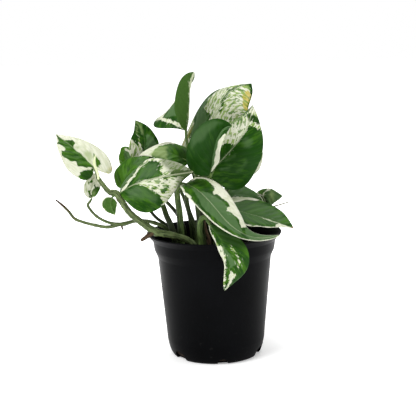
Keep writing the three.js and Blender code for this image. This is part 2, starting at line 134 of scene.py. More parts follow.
# How far apart the noise of two leaves, or of two stems, is taken, and of a leaf's halves
PLACE_APART = 5.3
STREAKS_APART = 3.7
PETIOLES_APART = 7.1
STEMS_APART = 11.3
HALVES_APART = 40

# Petioles and stems, millimetres and shares
PETIOLE_SIDES = 12
PETIOLE_RADIUS = 1.3
PETIOLE_END_RADIUS = 0.5
PETIOLE_STEPS = 10  # rings of a petiole for each point of its path
PETIOLE_SEAT = 0.4  # how far below the blade's middle the petiole runs
PETIOLE_REACH = 0.15  # how far it runs on under the midrib, as a share of the blade
TAPER = 0.7
PETIOLE_DRY = (92, 10, 0.45)  # the height where it starts to dry downward, how soon, and how much at most
PETIOLE_LOW_SHADE = (140, 25)  # the height below which painted shade darkens it among the stems, and how soon it is full
STEM_SIDES = 16
STEM_STEPS = 14
RING_SWELL = 0.14
RING_REACH = 0.012  # as a share of the stem's length, as is the next
STAIN_REACH = 0.014
RING_STAIN = 0.38
END_ROUND = 0.5
STREAK_ALONG = 0.12  # a millimetre along a stem, in the noise of its streaks
STREAK_ROUND = 2  # the stem's radius there


def both(value):
    """A pair of values as it is, or one value for both of the pair."""
    return value if isinstance(value, list) else [value, value]


def leaf_form(rib, face, half, curl=-30, fold=(10, 6), shape=(0.72, 1, 1.3), girth=PETIOLE_RADIUS, **stalk):
    """A leaf's form. rib is the midrib as four points from base to tip, face the way the upper face looks at
    base and tip (degrees round from -Y toward +X, and up). For the left and the right half, half is the
    width, curl the bend, fold the angle out of the flat at base and tip, and shape says where the half is
    widest, how blunt it is and how far its base lobe reaches back. The petiole's points start at the soil,
    or else on_vine has the one point where the leaf sits on a vine. girth is the petiole's radius there."""
    pairs = {"face": face, "half": half, "curl": curl, "fold": fold, "shape": shape}
    return {"rib": rib, "girth": girth, **{key: both(value) for key, value in pairs.items()}, **stalk}


LEAVES = {
    "leaf_heart": leaf_form(
        rib=[(-2, -21, 147), (0, -23, 162), (4, -28, 178), (15, -25, 186)],
        face=[(-12, 20), (-2, 28)], half=[20.5, 17], curl=[-10, -6], fold=[(5, 20), (66, 52)],
        shape=[(0.88, 0.8, 1.8), (1.2, 1.05, 0.1)], girth=2,
        petiole=[(-13, -14, 99), (-12, -14, 111), (-13, -13, 123), (-12, -14, 136), (-7, -15, 146)],
    ),
    "leaf_broad": leaf_form(
        rib=[(-3, -14, 146), (10, -10, 161), (24, -13, 178), (32, -2, 200)],
        face=[(10, 30), (12, 48)], half=[24, 28], curl=[-20, -40], fold=[(14, 8), (0, 0)], girth=2.1,
        petiole=[(-14, -8, 101), (-17, -8, 110), (-20, -8, 119), (-21, -8, 129), (-17, -9, 139),
            (-9, -11, 145)],
    ),
    "leaf_top": leaf_form(
        rib=[(-7, -1, 168), (2, 7, 190), (12, 6, 208), (32, 10, 216)],
        face=[(-22, 40), (10, 30)], half=[33, 30], curl=[-35, -10], fold=[(5, -50), (-5, 6)],
        shape=[(0.75, 1.05, 2.2), (0.8, 0.42, 0.8)], girth=2,
        petiole=[(-9, -4, 97), (-10, -4, 125), (-9, -3, 150)],
    ),
    "leaf_folded": leaf_form(
        rib=[(-21, -4, 181), (-18, -4, 197), (-17, -4, 213), (-13, -2, 226)],
        face=[(-90, -20), (-90, 10)], half=[33, 16.5], curl=[-6, 8], fold=[(85, -15), (35, 40)],
        shape=[(0.7, 0.75, 3), (0.95, 0.75, 0.4)], girth=1.5,
        petiole=[(-12, 3, 97), (-12, 3, 120), (-14, -3, 148), (-19, -3, 166)],
    ),
    "leaf_upright": leaf_form(
        rib=[(-57, 4, 156), (-54, 2, 169), (-55, 4, 179), (-61, 7, 189)],
        face=[(18, 15), (30, 9)], half=[14, 13], curl=[0, -37], fold=[(15, 15), (10, 5)], shape=(0.8, 0.9, 1),
        girth=2.6,
        petiole=[(-31, -19, 97), (-34, -19, 109), (-37, -18, 116), (-40, -14, 124), (-48, -6, 140)],
    ),
    "leaf_pale": leaf_form(
        rib=[(-19, -5, 156), (-30, -6, 163), (-43, -7, 166), (-58, -6, 162)],
        face=[(0, 52), (0, 55)], half=[13, 14], curl=[-25, -28], fold=[(10, 5), (10, 2)],
        shape=(0.75, 1, 0.9), girth=1.8,
        petiole=[(-8, -9, 97), (-8, -9, 120), (-12, -7, 142)],
    ),
    "leaf_left": leaf_form(
        rib=[(-70, -26, 139), (-67, -20, 147), (-62, -17, 155), (-49, -12, 162)],
        face=[(-25, 25), (-20, 28)], half=[14, 13], curl=[-28, -20], fold=[(0, 0), (10, 10)],
        shape=(0.85, 0.9, 0.2), girth=1.1, on_vine=(-71, -33, 135),
    ),
    "leaf_low_left": leaf_form(
        rib=[(-71, -36, 137), (-54, -39, 146), (-35, -38, 150), (-15, -26, 151)],
        face=[(0, 55), (5, 10)], half=[20, 25], curl=[-35, -48], fold=[(0, 5), (8, -14)],
        shape=[(0.85, 0.75, 0.8), (0.78, 0.95, 0.8)], girth=1.1, on_vine=(-72, -35, 136),
    ),
    "leaf_behind_left": leaf_form(
        rib=[(-62, 12, 149), (-66, 12, 155), (-70, 12, 162), (-74, 13, 166)],
        face=(0, 15), half=9, curl=-20, fold=(10, 10), shape=(0.8, 0.8, 0.9), girth=1.6,
        petiole=[(-30, 4, 97), (-37, 1, 104), (-48, 1, 113), (-58, 6, 130)],
    ),
    "leaf_far_left": leaf_form(
        rib=[(-90, -34, 156), (-99, -31, 166), (-109, -28, 174), (-120, -23, 182)],
        face=[(25, 25), (30, 30)], half=[20, 16.5], curl=[0, -30], fold=[(15, 10), (0, 10)],
        shape=[(0.82, 1.2, 3), (0.82, 1.05, 3.8)], girth=1.1, on_vine=(-88, -34, 151),
    ),
    "leaf_young": leaf_form(
        rib=[(-94, -27, 132), (-94, -26, 138), (-93, -23, 144), (-92, -20, 151)],
        face=[(-5, 15), (0, 10)], half=[6.5, 7.5], curl=-20, fold=(30, 30), shape=(0.9, 0.9, 0.5), girth=1,
        on_vine=(-95, -27, 130),
    ),
    "leaf_small_under": leaf_form(
        rib=[(-77, -37, 134), (-78, -38, 129), (-77, -38, 125), (-75, -37, 120)],
        face=(180, 0), half=[7, 5], curl=-10, fold=(10, 10), shape=(0.75, 1, 0.9), girth=1.1,
        on_vine=(-75, -36, 136),
    ),
    "leaf_arching": leaf_form(
        rib=[(-22, -23, 141), (-2, -48, 130), (18, -60, 111), (50, -44, 104)],
        face=[(25, 62), (13, 66)], half=[18, 16], curl=[-20, -6], fold=[(24, 8), (14, 17)],
        shape=[(0.7, 0.8, 1.4), (0.7, 0.8, 0.4)], girth=2.8,
        petiole=[(-26, -15, 100), (-27, -15, 119), (-28, -15, 128), (-28, -17, 136), (-25, -20, 140)],
    ),
    "leaf_hanging": leaf_form(
        rib=[(-4, -47, 116), (5, -62, 103), (12, -67, 87), (7, -69, 68)],
        face=[(5, -10), (0, -45)], half=[15, 7], curl=[-20, -30], fold=[(20, -10), (0, -25)],
        shape=[(1.15, 1.1, 0), (1.3, 0.5, 0)], girth=2.4,
        petiole=[(-10, -34, 98), (-11, -36, 107), (-10, -38, 115), (-8, -41, 118), (-5, -44, 118)],
    ),
    "leaf_right": leaf_form(
        rib=[(8, -8, 119), (27, -4, 114), (45, -3, 108), (63, -8, 102)],
        face=[(0, 58), (16, 55)], half=[21, 18], curl=[-18, 0], fold=[(0, 15), (2, 27)],
        shape=(0.8, 0.8, 0.2), girth=1.9,
        petiole=[(1, -8, 97), (1, -9, 108), (3, -9, 115)],
    ),
    "leaf_right_behind": leaf_form(
        rib=[(7, 20, 122), (18, 18, 126), (30, 20, 124), (42, 22, 118)],
        face=[(12, 52), (19, 46)], half=[14, 12], curl=[-18, -20], fold=(5, 5), shape=(0.72, 1, 1),
        petiole=[(-2, 12, 97), (-2, 14, 112)],
    ),
    "leaf_curled": leaf_form(
        rib=[(37, 30, 117), (40, 28, 122), (46, 26, 125), (57, 24, 123)],
        face=[(0, 40), (0, 30)], half=[6, 15], curl=[-20, -40], fold=[(10, 10), (0, 0)],
        shape=[(0.8, 0.8, 0.4), (0.8, 0.6, 0.4)],
        petiole=[(10, 20, 97), (16, 26, 106), (27, 31, 113)],
    ),
    "leaf_behind_right": leaf_form(
        rib=[(27, 20, 142), (31, 21, 154), (33, 22, 165), (32, 22, 180)],
        face=(10, 10), half=[12, 10], curl=-20, fold=(8, 8), shape=(0.75, 1, 0.9),
        petiole=[(4, 10, 97), (4, 12, 115), (14, 14, 133)],
    ),
    "leaf_back_left": leaf_form(
        rib=[(-36, 26, 140), (-47, 34, 145), (-57, 42, 143), (-65, 50, 136)],
        face=[(150, 60), (190, 50)], half=17, fold=(12, 8), girth=1.8,
        petiole=[(-18, 8, 97), (-21, 12, 115), (-28, 20, 132)],
    ),
    "leaf_back_high_left": leaf_form(
        rib=[(-20, 22, 152), (-26, 33, 158), (-31, 45, 159), (-34, 56, 153)],
        face=[(180, 55), (180, 40)], half=16, fold=(12, 8),
        petiole=[(-12, 12, 97), (-13, 14, 120), (-16, 18, 142)],
    ),
    "leaf_back_high": leaf_form(
        rib=[(2, 18, 168), (5, 26, 178), (8, 32, 189), (11, 33, 200)],
        face=[(175, 20), (180, 10)], half=[16, 17], curl=-25, fold=(14, 8),
        petiole=[(-4, 6, 97), (-3, 8, 125), (0, 13, 155)],
    ),
    "leaf_back_middle": leaf_form(
        rib=[(2, 34, 138), (4, 48, 141), (7, 62, 136), (10, 74, 124)],
        face=[(180, 65), (180, 35)], half=19, fold=(12, 6),
        petiole=[(-4, 18, 97), (-3, 21, 118), (0, 28, 134)],
    ),
    "leaf_back_right": leaf_form(
        rib=[(20, 39, 116), (32, 50, 118), (42, 61, 113), (50, 70, 102)],
        face=[(150, 60), (145, 45)], half=16,
        petiole=[(6, 26, 97), (10, 31, 109)],
    ),
    "leaf_back_low_left": leaf_form(
        rib=[(-40, 22, 122), (-50, 30, 127), (-59, 38, 126), (-67, 46, 120)],
        face=[(200, 60), (195, 45)], half=13, curl=-25, shape=(0.72, 1, 1), girth=2,
        petiole=[(-24, 10, 97), (-29, 14, 110)],
    ),
    "leaf_back_low_right": leaf_form(
        rib=[(16, 48, 112), (20, 60, 110), (24, 69, 101), (27, 74, 87)],
        face=[(170, 55), (165, 20)], half=14, curl=-25, shape=(0.72, 1, 1),
        petiole=[(2, 32, 97), (6, 38, 108)],
    ),
}


def leaf_look(ground="green", margin=(0, 0), flecks=0.1, tone=0, rib=0, stalk=0.2, patches=()):
    """A leaf's look. ground is the colour between the patches, margin the cream edge of the left and the
    right half as a share of its width, flecks how speckled the cream is, tone how light the green is, rib
    how pale the midrib is and stalk how much the petiole is spared the painted shade that darkens it low
    down among the stems.

    A patch has its kind, which is cream, green, grey, faint, pale, dark, shade, ochre or brown, and then its
    place in percent along the leaf from its base and across it, where -100 is the left margin and 100 the
    right one. Shade patches are painted shade, olive, where other leaves shadow the blade; dark patches are
    deeper green, and on some leaves painted shadow. An area has the points of its outline, a band the points
    of its middle line and its half-width in millimetres, and an oval its centre, its half-sizes and, where it
    is turned, its turn in degrees."""
    return {
        "ground": ground, "margin": margin, "flecks": flecks, "tone": tone, "rib": rib, "stalk": stalk,
        "patches": patches,
    }


LOOKS = {
    "leaf_heart": leaf_look(tone=-0.6, stalk=0.3, patches=[
        ("cream", [(10, 65), (30, 50), (50, 40), (65, 45), (76, 70), (82, 130), (50, 160), (20, 140)]),
        ("grey", [(10, 0), (30, 5), (70, 5), (95, 0), (95, 80), (60, 60), (30, 60)]),
        ("faint", [(50, -80), (56, -50), (74, -35), (88, -50), (84, -90), (60, -110)]),
    ]),
    "leaf_broad": leaf_look(flecks=0.88, tone=-0.35, rib=0.3, patches=[
        ("cream", [(10, -10), (25, -50), (40, -80), (60, -130), (70, -100), (76, -70), (86, -50), (94, -60),
            (100, 0), (88, 3), (74, 3), (60, 2), (52, 0)]),
        ("green", [(5, 0), (14, -10), (26, -16), (34, -30), (40, -38), (47, -24), (50, 0)]),
        ("green", [(44, -60), (56, -75), (60, -120), (30, -130)]),
        ("cream", [(77, 0), (79, 35), (82, 130), (93, 130), (100, 0), (90, -5)]), ("green", 87, 40, 3.5, 30),
        ("dark", 87, 40, 4, 30), ("grey", [(60, -80), (76, -40), (92, -50), (95, -130), (60, -150)]),
        ("pale", [(66, -110), (76, -90), (86, -80)], 1.2), ("cream", [(68, -90), (80, -62), (90, -70)], 0.5),
        ("faint", [(30, 10), (43, 17)], 1.1), ("faint", [(17, 24), (30, 30)], 1), ("faint", 62, 30, 5, 16),
        ("faint", [(35, 55), (50, 60)], 0.8),
    ]),
    "leaf_top": leaf_look(ground="cream", flecks=1, tone=-0.15, patches=[
        ("green", [(0, -30), (20, -20), (33, -12), (39, -30), (45, -50), (55, -58), (68, -72), (72, -130),
            (55, -140), (47, -130), (44, -86), (36, -72), (20, -66), (5, -60)]),
        ("green", [(100, 0), (88, -4), (72, -4), (61, 2), (52, 8), (44, 8)], 1), ("green", 72, -16, 2, 10),
        ("green", [(0, 0), (12, 10), (10, 40), (0, 60)]),
        ("grey", [(10, -20), (33, -20), (46, -50), (60, -70), (44, -75), (25, -60)]),
        ("green", [(72, 102), (80, 104), (90, 100), (96, 90), (100, 30)], 1.3),
        ("ochre", [(75, 130), (73, 75), (82, 50), (90, 35), (95, 60), (95, 130)]), ("green", 30, -66, 6, 10),
        ("ochre", 27, -74, 6, 12), ("dark", 98, 50, 2, 50),
    ]),
    "leaf_folded": leaf_look(flecks=0.45, tone=-0.35, stalk=0.6, patches=[
        ("cream", [(3, -10), (12, -34), (20, -56), (27, -80), (31, -105)], 1.4),
        ("cream", [(27, -80), (40, -86), (50, -88), (62, -85), (70, -140), (40, -150), (25, -130)]),
        ("cream", [(10, 2), (50, 0), (80, 2)], 0.6),
        ("cream", [(62, 0), (80, 22), (94, 30), (100, 0), (90, -50), (70, -30)]),
        ("grey", [(28, -30), (30, -80), (50, -80), (70, -50), (70, 0)]),
        # painted shade on the cream band near the left margin
        ("shade", [(24, -90), (34, -100), (50, -98), (60, -100)], 0.3),
    ]),
    "leaf_upright": leaf_look(flecks=0.95, tone=-0.2, rib=0.05, stalk=0, patches=[
        ("cream", [(60, -140), (56, -95), (47, -76), (37, -52), (42, -36), (33, -20), (22, -10), (8, 0),
            (0, -50), (10, -140), (35, -150)]),
        ("cream", [(63, -40), (53, -42), (45, -38)], 0.6), ("pale", [(95, 6), (82, 0), (66, -4)], 0.9),
        ("pale", [(88, -50), (70, -62)], 0.7),
        ("grey", [(20, 5), (35, 10), (60, 10), (65, 40), (45, 80), (25, 60)]),
        ("grey", [(62, -20), (90, -20), (92, 0), (60, 0)]),
    ]),
    "leaf_pale": leaf_look(tone=0.3, stalk=0.1, patches=[
        ("cream", [(100, 0), (82, -140), (79, -80), (75, -10), (65, 45), (53, 62), (42, 82), (38, 140),
            (70, 150)]),
        ("faint", [(42, 120), (36, -120), (82, -120), (76, -10), (66, 45), (50, 70)]),
        ("pale", [(50, 40), (48, -80), (84, -90), (78, 0), (66, 40)]),
        # painted shade: the darkened base beside leaf_heart
        ("dark", [(0, 140), (30, 120), (26, -140), (0, -140)]),
    ]),
    "leaf_left": leaf_look(tone=0.35, stalk=0.7, patches=[
        ("faint", 85, 20, 14, 40),
    ]),
    "leaf_low_left": leaf_look(flecks=0.8, tone=-0.15, rib=0.5, stalk=0.8, patches=[
        ("cream", [(4, -10), (15, -30), (24, -46), (33, -62), (42, -82), (50, -102)], 1.3),
        ("cream", [(46, -140), (48, -88), (60, -86), (66, -60), (59, -36), (63, -12), (56, 0), (72, 0),
            (100, 0), (95, -140), (70, -150)]),
        ("cream", [(26, 3), (36, 20), (46, 38), (56, 60), (57, 78), (60, 130), (74, 150), (80, 90), (88, 45),
            (78, 12), (55, 1), (40, 0)]),
        ("green", [(46, 30), (54, 27)], 0.7), ("green", [(60, 22), (66, 20)], 0.6),
        ("green", [(58, 52), (65, 46)], 1.4), ("green", [(63, 4), (76, 6)], 0.8),
        ("faint", [(44, 30), (60, 40), (66, 30)], 3),
        # painted shadow of leaf_heart along the midrib toward the tip: green, then dark
        ("green", [(70, -5), (78, -26), (90, -40), (100, -50), (100, 50), (86, 30), (80, 10)]),
        ("dark", [(72, -2), (80, -34), (100, -60), (100, 30), (84, 20)]),
        # painted shade over both halves near the tip, where leaf_heart shadows them
        ("shade", [(74, 0), (66, -50), (66, -150), (100, -150), (100, 10)]),
        ("shade", [(76, 0), (78, 40), (82, 140), (100, 140), (100, 0)]),
        ("grey", [(0, -130), (12, -50), (35, -75), (46, -110), (30, -150)]),
        ("faint", [(26, -12), (36, -50), (48, -78), (60, -70), (58, -30), (60, -10)]),
        ("faint", [(8, 10), (30, 14), (42, 35), (54, 62), (50, 75), (30, 60), (15, 50)]),
    ]),
    "leaf_behind_left": leaf_look(margin=(0.06, 0), flecks=0.2, tone=0.9, stalk=0, patches=[
        ("grey", 50, 10, 30, 40), ("cream", [(30, 30), (60, 50), (80, 40)], 0.8),
    ]),
    "leaf_far_left": leaf_look(ground="cream", flecks=0.05, tone=0.15, rib=0.2, stalk=1, patches=[
        ("green", [(100, 40), (97, -120), (92, -62), (86, -55), (82, -90), (77, -55), (66, -42), (69, -75),
            (65, -86), (60, -76), (50, -60), (38, -46), (36, -60), (30, -55), (20, -42), (8, -30), (0, 0),
            (30, 0), (56, 0), (60, 12), (62, 30), (70, 38), (76, 22), (80, 5)]),
        ("pale", [(49, 8), (50, 32), (56, 30), (56, 8)]),
        ("pale", [(10, 2), (30, 3), (40, 10), (42, 30), (36, 45), (25, 34), (12, 10)]),
        ("green", [(3, 15), (15, 34), (30, 40), (36, 50), (20, 62), (8, 55)]),
        ("green", [(2, -30), (10, -50), (20, -60), (26, -78), (28, -100), (15, -140), (4, -120)]),
        ("dark", [(2, -40), (10, -60), (20, -70), (24, -90), (15, -120), (5, -100)]),
        ("dark", [(88, -80), (90, 0), (100, 30), (100, -100)]), ("dark", 69, 24, 5, 12),
        ("pale", 70, 80, 2, 10), ("ochre", [(12, 102), (28, 98)], 0.7),
    ]),
    "leaf_young": leaf_look(ground="cream", flecks=0.4, rib=0.1, stalk=0.8, patches=[
        ("green", [(58, -55), (60, -5), (72, 0), (74, -50)]),
        ("green", [(68, 20), (50, 50), (55, 130), (20, 140), (5, 40), (30, 12), (42, 40)]),
        ("green", [(0, 0), (34, -8), (32, -42), (10, -60)]),
        ("pale", [(10, 20), (30, 30), (40, 60), (20, 70)]),
    ]),
    "leaf_small_under": leaf_look(margin=(0.1, 0.1), rib=0.2, stalk=0.8, patches=[
        ("cream", 97, 0, 6, 100),
    ]),
    "leaf_arching": leaf_look(margin=(0.06, 0.1), flecks=0.25, tone=-0.05, rib=0.3, stalk=1, patches=[
        ("cream", [(0, -140), (2, -70), (10, -86), (20, -86), (26, -72), (30, -58), (30, -33), (35, -52),
            (43, -64), (49, -60), (48, -33), (55, -50), (62, -64), (70, -38), (75, -90), (70, -150),
            (40, -150), (20, -150)]),
        ("cream", [(0, 40), (5, 75), (12, 85), (10, 150), (0, 140)]), ("green", 7, 100, 3, 12),
        ("cream", 25, 95, 3, 14), ("dark", [(7, -20), (7, -70), (20, -75), (24, -30)]),
        ("grey", [(12, 40), (20, -15), (40, -50), (60, -50), (70, -30), (70, 50), (40, 70)]),
        ("grey", 86, 0, 13, 100),
    ]),
    "leaf_hanging": leaf_look(flecks=0.65, stalk=1, patches=[
        ("cream", [(4, 70), (20, 72), (34, 60), (40, 10), (46, 30), (55, 30), (64, 70), (80, 80), (97, 70),
            (97, 150), (50, 160), (10, 150)]),
        ("green", 43, 50, 1.5, 15), ("cream", [(48, -30), (56, -40), (64, -45), (71, -42)], 0.45),
        ("cream", 70, -40, 2.5, 9),
        ("cream", [(73, 20), (80, -38), (86, -32), (92, -40), (97, -90), (100, 0), (90, 10)]),
        # painted shadow of leaf_arching over the base and the left half
        ("dark", [(0, 20), (30, 0), (42, -20), (52, -60), (58, -130), (30, -140), (0, -100)]),
        ("grey", [(34, 10), (50, -10), (66, -30), (72, 10), (50, 40)]),
    ]),
    "leaf_right": leaf_look(margin=(0, 0.08), flecks=0.3, rib=0.1, patches=[
        ("cream", [(0, -150), (10, -74), (30, -76), (44, -84), (52, -102), (54, -150), (30, -160)]),
        ("pale", [(16, -95), (34, -93)], 1), ("cream", [(56, 2), (70, 6), (82, 12)], 0.7),
        ("cream", [(76, 60), (80, 16), (88, 10), (100, 0), (95, 150), (80, 150)]), ("faint", 45, -10, 40, 80),
        ("faint", 45, 0, 30, 50), ("brown", 100, 0, 3, 100),
    ]),
    "leaf_right_behind": leaf_look(flecks=0.35, tone=-0.25, stalk=0, patches=[
        ("cream", [(15, 25), (50, 30), (75, 42), (90, 30), (100, 0), (97, 150), (50, 160), (15, 150)]),
        ("pale", [(28, 42), (50, 42), (66, 48)], 0.9), ("cream", [(80, -100), (100, 0)], 0.5),
        ("faint", 50, -30, 40, 80),
    ]),
    "leaf_curled": leaf_look(margin=(0, 0.06), flecks=0.3, tone=0.9, stalk=0.1, patches=[
        ("cream", [(34, -110), (35, -50), (38, 0), (36, 40)], 0.5),
        ("cream", [(42, 0), (50, -30), (60, -50), (66, -60)], 0.6),
        ("cream", [(58, -45), (64, -140), (74, -140), (70, -55)]),
        ("faint", [(36, -140), (40, -20), (50, -40), (62, -140)]),
        ("dark", [(42, 10), (55, -5), (60, 30), (50, 50)]), ("grey", 78, 30, 30, 100),
        ("pale", 75, 20, 8, 30),
    ]),
    "leaf_behind_right": leaf_look(ground="cream", flecks=0.6, tone=0.1, rib=0.2, stalk=0, patches=[
        ("green", 50, -20, 30, 50), ("green", 50, 75, 10, 20),
    ]),
    "leaf_back_left": leaf_look(margin=(0.3, 0.12), flecks=0.5, rib=0.4, patches=[
        ("cream", [(30, 10), (45, 25), (60, 30), (72, 70), (60, 130), (40, 130), (42, 60)]),
        ("grey", 40, -30, 20, 30), ("faint", 75, -30, 14, 30),
    ]),
    "leaf_back_high_left": leaf_look(margin=(0.1, 0.1), flecks=0.7, tone=-0.15, rib=0.4, patches=[
        ("cream", [(30, 0), (40, 30), (50, 30), (62, 15), (80, 0), (85, 130), (50, 150), (25, 130)]),
        ("green", 60, 60, 8, 16, 20), ("grey", 35, -40, 20, 30),
        ("cream", [(50, -110), (62, -50), (75, -20)], 1.2),
    ]),
    "leaf_back_high": leaf_look(ground="cream", flecks=0.9, rib=0.2, patches=[
        ("green", [(0, -50), (20, 0), (40, -10), (60, 0), (55, -50), (40, -120), (10, -130)]),
        ("green", [(100, 0), (80, 5), (60, 2)], 1), ("green", [(70, 30), (85, 20), (80, 130), (60, 130)]),
        ("grey", 30, -30, 10, 30), ("pale", 45, 50, 12, 20),
    ]),
    "leaf_back_middle": leaf_look(margin=(0.12, 0.1), flecks=0.4, tone=0.05, rib=0.5, patches=[
        ("cream", [(20, -130), (30, -50), (40, -40), (50, -55), (55, -30), (65, -60), (60, -140)]),
        ("cream", [(60, 2), (70, 30), (80, 35), (85, 10)]), ("grey", 50, 30, 30, 30),
        ("faint", 35, -15, 20, 20),
    ]),
    "leaf_back_right": leaf_look(margin=(0.08, 0.22), flecks=0.3, tone=-0.1, rib=0.4, stalk=0.1, patches=[
        ("grey", 45, 20, 24, 40), ("cream", [(45, -120), (55, -50), (68, -30), (70, -130)]),
    ]),
    "leaf_back_low_left": leaf_look(margin=(0.16, 0.1), flecks=0.3, tone=0.1, rib=0.3, stalk=0, patches=[
        ("cream", [(30, -120), (40, -30), (55, -25), (65, -120)]), ("grey", 40, 40, 20, 30),
    ]),
    "leaf_back_low_right": leaf_look(margin=(0.12, 0.14), flecks=0.5, rib=0.3, stalk=0, patches=[
        ("cream", [(40, 130), (50, 20), (65, 10), (80, 50), (75, 130)]), ("grey", 35, -30, 20, 40),
    ]),
}

# Stems and stalks, as in the solids: the points of each path and the radius at each point
VINE = (
    [(-12, -24, 84), (-17, -26, 95), (-23, -27, 99), (-32, -28, 102), (-40, -29, 104), (-46, -30, 106),
     (-54, -31, 112), (-64, -33, 121), (-71, -34, 132), (-74, -35, 137), (-79, -35, 138), (-84, -35, 144),
     (-88, -34, 150)],
    [2.2, 2.5, 2.6, 2.7, 2.8, 3.1, 2.7, 2.5, 2.6, 2.6, 2, 1.8, 1.5],
)
AERIAL_ROOT = ([(-46, -30, 106), (-51, -33, 103), (-56, -35, 100)], [2.2, 1.8, 1.2])
THIN_VINE = (
    [(-28, -2, 92), (-33, -6, 98), (-39, -9, 105), (-51, -10, 110), (-62, -12, 111), (-73, -14, 109),
     (-82, -17, 111), (-90, -21, 116), (-95, -24, 122), (-97, -26, 127), (-95, -27, 130)],
    [1.5, 1.5, 1.5, 1.5, 1.5, 1.7, 1.2, 1.1, 1.1, 1.1, 1],
)
DRIED_END = (
    [(-73, -14, 109), (-84, -14, 107), (-94, -15, 109), (-103, -17, 112), (-109, -18, 115), (-113, -20, 121),
     (-117, -22, 126), (-122, -24, 131)],
    [1.5, 1.4, 1.3, 1.2, 1.2, 1.1, 1, 0.6],
)
DEAD_ROOT = ([(-73, -14, 109), (-72, -15, 105)], [0.9, 0.7])
NEW_LEAF = ([(-87, -35, 148), (-87, -37, 152), (-89, -40, 161), (-88, -40, 167)], [0.9, 1, 1.2, 0.4])
DRY_SHEATH = ([(-4, -30, 84), (-4, -32, 99), (-6, -33, 106), (-7, -34, 114)], [1.4, 1.4, 1, 0.5])
DRY_STALK = (
    [(16, 26, 84), (18, 29, 100), (28, 24, 108), (44, 18, 114), (61, 17, 119)],
    [0.8, 0.8, 0.7, 0.6, 0.4],
)

# How dry a stem is from its start, 0, to its end, 1: green at 0 and brown at 1
MOSTLY_GREEN = [(0, 0.3), (0.1, 0.1), (1, 0.05)]
GREEN = [(0, 0.3), (0.2, 0.1), (1, 0)]
DRYING = [(0, 0.2), (0.5, 0.35), (0.85, 0.6), (0.95, 1), (1, 1)]
BROWN_ROOT = [(0, 0.4), (0.3, 0.9), (1, 1)]
DEAD = [(0, 0.9), (1, 1)]
BROWN = [(0, 1), (1, 1)]
BROWN_FOOT = [(0, 1), (0.4, 0), (1, -0.4)]
FRESH = [(0, 0.1), (1, 0)]


# Materials

# The values painted on a leaf's points, three to an attribute
PAINTED = {
    "fields": ("cream", "grey", "dark"),
    "tints": ("ochre", "brown", "pale"),
    "edges": ("rim", "faint", "shade"),
    "look": ("flecks", "tone", "rib"),
}


class Shader:
    """A node material under construction. Each call adds a node and gives back its output socket."""

    def __init__(self, name):
        self.material = bpy.data.materials.new(name)
        self.material.use_nodes = True
        self.tree = self.material.node_tree
        self.tree.nodes.clear()
        self.output = self.tree.nodes.new("ShaderNodeOutputMaterial")

    def feed(self, socket, value):
        if isinstance(value, bpy.types.NodeSocket):
            self.tree.links.new(value, socket)
        elif socket.type == "RGBA" and len(value) == 3:
            socket.default_value = (*value, 1)
        else:
            socket.default_value = value

    def node(self, kind, inputs, **settings):
        made = self.tree.nodes.new("ShaderNode" + kind)
        for key, value in settings.items():
            setattr(made, key, value)
        for key, value in inputs.items():
            self.feed(made.inputs[key], value)
        return made

    def attribute(self, name):
        return self.node("Attribute", {}, attribute_name=name).outputs["Vector"]

    def place(self):
        return self.node("TexCoord", {}).outputs["Object"]

    def split(self, vector):
        return self.node("SeparateXYZ", {0: vector}).outputs

    def math(self, operation, a, b=0.0):
        return self.node("Math", {0: a, 1: b}, operation=operation).outputs[0]

    def add(self, a, b):
        return self.math("ADD", a, b)

    def less(self, a, b):
        return self.math("SUBTRACT", a, b)

    def times(self, a, b):
        return self.math("MULTIPLY", a, b)

    def noise(self, vector, scale, detail=2.0, roughness=0.5):
        inputs = {"Vector": vector, "Scale": scale, "Detail": detail, "Roughness": roughness}
        return self.node("TexNoise", inputs).outputs[0]

    def ramp(self, value, low, high, to_low=0.0, to_high=1.0):
        inputs = {"Value": value, "From Min": low, "From Max": high, "To Min": to_low, "To Max": to_high}
        return self.node("MapRange", inputs, interpolation_type="SMOOTHSTEP").outputs[0]

    def mix(self, factor, a, b):
        return self.node("Mix", {0: factor, 6: a, 7: b}, data_type="RGBA").outputs[2]

    def bump(self, height, distance):
        return self.node("Bump", {"Height": height, "Distance": distance}).outputs[0]

    def finish(self, color, roughness, specular, **more):
        inputs = {"Base Color": color, "Roughness": roughness, "Specular IOR Level": specular, **more}
        shader = self.node("BsdfPrincipled", inputs)
        self.tree.links.new(shader.outputs[0], self.output.inputs[0])
        return self.material


# Leaf skin, as linear red, green and blue
CREAM = (0.58, 0.59, 0.48)
CREAM_SHADE = (0.43, 0.46, 0.30)
DEEP_GREEN = (0.008, 0.043, 0.002)
FRESH_GREEN = (0.043, 0.125, 0.007)
GREY_GREEN = (0.068, 0.130, 0.048)
# deeper green, also used as painted shadow where other leaves shade a blade
DARK_GREEN_AND_SHADOW = (0.007, 0.026, 0.002)
PALE_GREEN = (0.23, 0.31, 0.115)
FLECK_GREEN = (0.065, 0.150, 0.022)
FLECK_LIGHT = (0.19, 0.29, 0.060)
OCHRE = (0.42, 0.33, 0.050)
OCHRE_GREEN = (0.15, 0.22, 0.035)
# painted shade: the olive that stands for other leaves' shadow on a blade
PAINTED_SHADE_OLIVE = (0.060, 0.090, 0.030)
TIP_BROWN = (0.16, 0.07, 0.025)
UNDER_GREEN = (0.042, 0.100, 0.015)
UNDER_CREAM = (0.42, 0.46, 0.30)

# Each kind of painted area: where its colour starts and is full, in millimetres inside the area's edge, how
# strong it gets, and the colour. Shade is painted shade where other leaves shadow a blade, and dark is a
# deeper green that on some leaves is painted shadow.
AREAS = {
    "grey": (-0.4, 0.9, 0.85, GREY_GREEN),
    "faint": (-1.6, 2.4, 0.55, GREY_GREEN),
    "dark": (-2.5, 3.5, 0.80, DARK_GREEN_AND_SHADOW),
    "pale": (-1.5, 2.2, 0.70, PALE_GREEN),
    "shade": (-2.5, 2.5, 0.72, PAINTED_SHADE_OLIVE),
}


